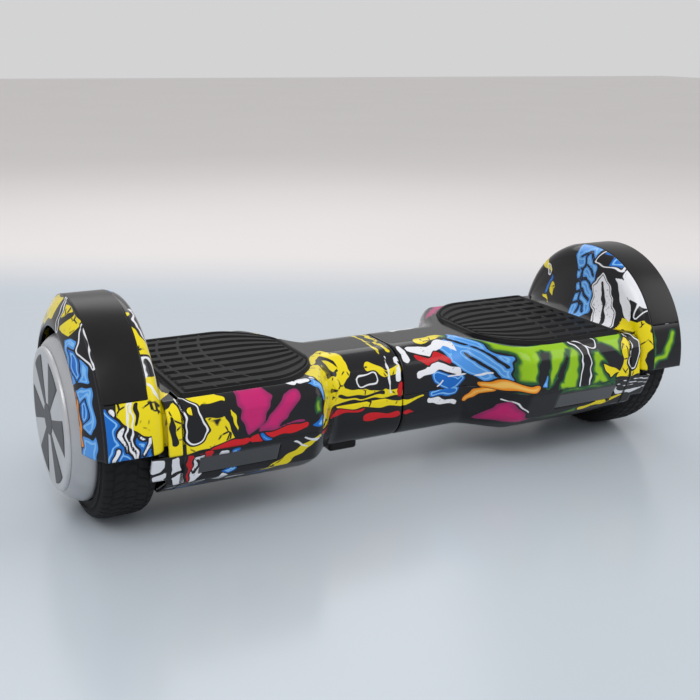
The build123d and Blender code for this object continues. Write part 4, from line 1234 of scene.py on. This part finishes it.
def striped(name, colour, other, roughness, metallic, pitch):
    """Bands of two colours along X, one pair to each pitch in mm: stacked sheets, or turns of wire."""
    finish = Finish(name, colour, roughness, metallic)
    wave = (finish.axis("X") * (2 * math.pi / (pitch * MM))).sine()
    finish.drive("Base Color", finish.blend(wave.ramp(-0.3, 0.4), other, colour))
    finish.drive("Roughness", roughness + 0.1 * finish.noise(300.0))
    finish.bump(wave, 0.5, 0.08 * MM)
    return finish


def board_finish():
    """Green solder resist with copper traces showing as paler lines."""
    finish = Finish("solder_resist", (0.01, 0.11, 0.04), 0.35, 0.0, 0.3)
    traces = finish.cells(330.0).ramp(0.05, 0.02)
    cloud = finish.noise(80.0)
    base = finish.blend(cloud, (0.006, 0.08, 0.03), (0.012, 0.14, 0.05))
    finish.drive("Base Color", finish.blend(traces, base, (0.05, 0.28, 0.10)))
    finish.drive("Roughness", 0.3 + 0.15 * cloud)
    return finish


def braid_finish():
    """A woven sleeve: two sets of slanted threads, one over the other."""
    finish = Finish("braided_sleeve", (0.02, 0.02, 0.022), 0.7)
    along = finish.axis("X") * 2600.0
    around = finish.axis("Y") * 2600.0
    weave = (along + around).sine() * (along - around).sine()
    finish.drive("Base Color", finish.blend(weave.ramp(-0.4, 0.6), (0.012, 0.012, 0.013), (0.05, 0.05, 0.055)))
    finish.bump(weave, 0.6, 0.1 * MM)
    return finish


finishes = {
    "printed_shell": print_finish(),
    "pad_rubber": plain("pad_rubber", (0.007, 0.007, 0.008), 0.55, shine=0.15, grain=1600.0, depth=0.05),
    "band_plastic": plain("band_plastic", (0.008, 0.007, 0.007), 0.3, shine=0.26, grain=1500.0, depth=0.03),
    "smoked_lens": plain("smoked_lens", (0.010, 0.010, 0.013), 0.07, coat=1.0, depth=0.0),
    "circuit_board": board_finish(),
    "cast_aluminium": plain("cast_aluminium", (0.52, 0.52, 0.54), 0.46, 1.0, grain=700.0, depth=0.06),
    "steel": plain("turned_steel", (0.56, 0.56, 0.57), 0.28, 1.0, grain=2400.0, depth=0.01, tint=0.06),
    "black_steel": plain("black_oxide", (0.035, 0.035, 0.038), 0.4, 0.8, depth=0.01),
    "lamination_steel": striped("lamination_steel", (0.30, 0.30, 0.32), (0.14, 0.14, 0.15), 0.4, 0.9, 0.7),
    "copper": striped("copper_turns", (0.72, 0.30, 0.11), (0.42, 0.14, 0.05), 0.3, 0.9, 1.1),
    "magnet": plain("magnet", (0.48, 0.48, 0.50), 0.25, 1.0, depth=0.01),
    "tyre_rubber": plain("tyre_rubber", (0.010, 0.010, 0.011), 0.7, shine=0.25, grain=1300.0, depth=0.06),
    "silver_paint": plain("silver_paint", (0.50, 0.505, 0.52), 0.36, 0.55, grain=2600.0, depth=0.02, tint=0.04),
    "silver_plastic": plain("silver_plastic", (0.58, 0.585, 0.60), 0.34, 0.35, grain=2600.0, depth=0.02, tint=0.04),
    "dark_plastic": plain("dark_plastic", (0.055, 0.055, 0.058), 0.45, grain=1500.0, depth=0.02),
    "press_plastic": plain("press_plastic", (0.10, 0.10, 0.10), 0.5, depth=0.03),
    "bush_plastic": plain("bush_plastic", (0.62, 0.60, 0.52), 0.45, depth=0.01),
    "loom_sleeve": braid_finish(),
    "battery_wrap": plain("battery_wrap", (0.012, 0.06, 0.34), 0.25, coat=0.5, grain=200.0, depth=0.15),
    "cell_can": plain("cell_can", (0.06, 0.32, 0.28), 0.3, coat=0.3, depth=0.01),
    "socket_plastic": plain("socket_plastic", (0.03, 0.03, 0.032), 0.4, depth=0.02),
    "button_plastic": plain("button_plastic", (0.05, 0.05, 0.055), 0.15, coat=0.6, depth=0.0),
}



def wear(piece, slot):
    """Give a piece the one finish of its slot."""
    piece.data.materials.clear()
    piece.data.materials.append(finishes[slot].material)


slots = {part["node"]: part["material_slot"] for part in frame["record"]["subparts"]}
for node, piece in frame["nodes"].items():
    wear(piece, slots[node])
new_pieces = [piece for piece in bpy.data.objects if "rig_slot" in piece and piece.name not in frame["nodes"]]
for piece in new_pieces:
    wear(piece, piece["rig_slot"])
print(len(finishes), "finishes on", len(slots), "nodes and", len(new_pieces), "new pieces")

# %% [markdown]
# ## Stage
# The board stands on a pale, slightly glossy floor that turns warmer behind it, under three large soft
# lamps. The camera looks down on it from the left, at the height of a person who bends to look.

# %% Floor and world
view_yaw, view_pitch, view_roll = 0.491, 0.290, 0.016
floor_mesh = bpy.data.meshes.new("floor")
floor_mesh.from_pydata([(-8, -8, 0), (8, -8, 0), (8, 8, 0), (-8, 8, 0)], [], [(0, 1, 2, 3)])
floor_finish = Finish("pale_floor", (0.66, 0.72, 0.78), 0.3, shine=0.35)
behind = floor_finish.axis("X") * math.sin(view_yaw) + floor_finish.axis("Y") * math.cos(view_yaw)
cloud = floor_finish.noise(2.0)
near_tone = floor_finish.blend(cloud, (0.52, 0.575, 0.63), (0.55, 0.60, 0.655))
far_tone = floor_finish.blend(cloud, (0.78, 0.745, 0.735), (0.82, 0.785, 0.775))
floor_finish.drive("Base Color", floor_finish.blend(behind.ramp(0.55, 0.95), near_tone, far_tone))
floor_finish.drive("Roughness", behind.ramp(0.48, 0.62) * 0.5 + 0.22)
floor_mesh.materials.append(floor_finish.material)
put_in_scene("floor", floor_mesh)

world = bpy.data.worlds.new("studio")
bpy.context.scene.world = world
world.use_nodes = True
world.node_tree.nodes["Background"].inputs["Color"].default_value = (0.93, 0.93, 0.94, 1)
world.node_tree.nodes["Background"].inputs["Strength"].default_value = 0.70
bpy.context.scene.view_settings.view_transform = "Standard"

# %% Lamps and camera


def aimed(place, look, roll=0.0):
    """World matrix of something that looks along look: its right, up and back directions as columns."""
    back = -np.asarray(look, float) / np.linalg.norm(look)
    right = np.cross((0, 0, 1), back)
    right /= np.linalg.norm(right)
    up = np.cross(back, right)
    tilted_right = math.cos(roll) * right + math.sin(roll) * up
    tilted_up = math.cos(roll) * up - math.sin(roll) * right
    columns = np.stack([tilted_right, tilted_up, back, place], 1)
    return Matrix([*columns.tolist(), (0, 0, 0, 1)])


def soft_light(name, place, aim, size, power):
    """A rectangular lamp of the given size in metres and power in watts."""
    lamp = bpy.data.lights.new(name, "AREA")
    lamp.shape = "RECTANGLE"
    lamp.size, lamp.size_y = size
    lamp.energy = power
    put_in_scene(name, lamp).matrix_world = aimed(place, np.array(aim, float) - place)


soft_light("key", (-0.9, -1.2, 1.9), (0, 0, 0.05), (1.6, 1.2), 18)
soft_light("fill", (1.5, -0.8, 1.1), (0, 0, 0.1), (1.2, 1.2), 7)
soft_light("rim", (0.2, 1.4, 1.3), (0, 0, 0.1), (1.8, 0.8), 7)

lens = bpy.data.cameras.new("camera")
lens.lens = 54.3
lens.sensor_width = 36
camera = put_in_scene("camera", lens)
view_line = (math.sin(view_yaw) * math.cos(view_pitch), math.cos(view_yaw) * math.cos(view_pitch),
             -math.sin(view_pitch))
camera.matrix_world = aimed((-0.4472, -0.7830, 0.3704), view_line, view_roll)
bpy.context.scene.camera = camera
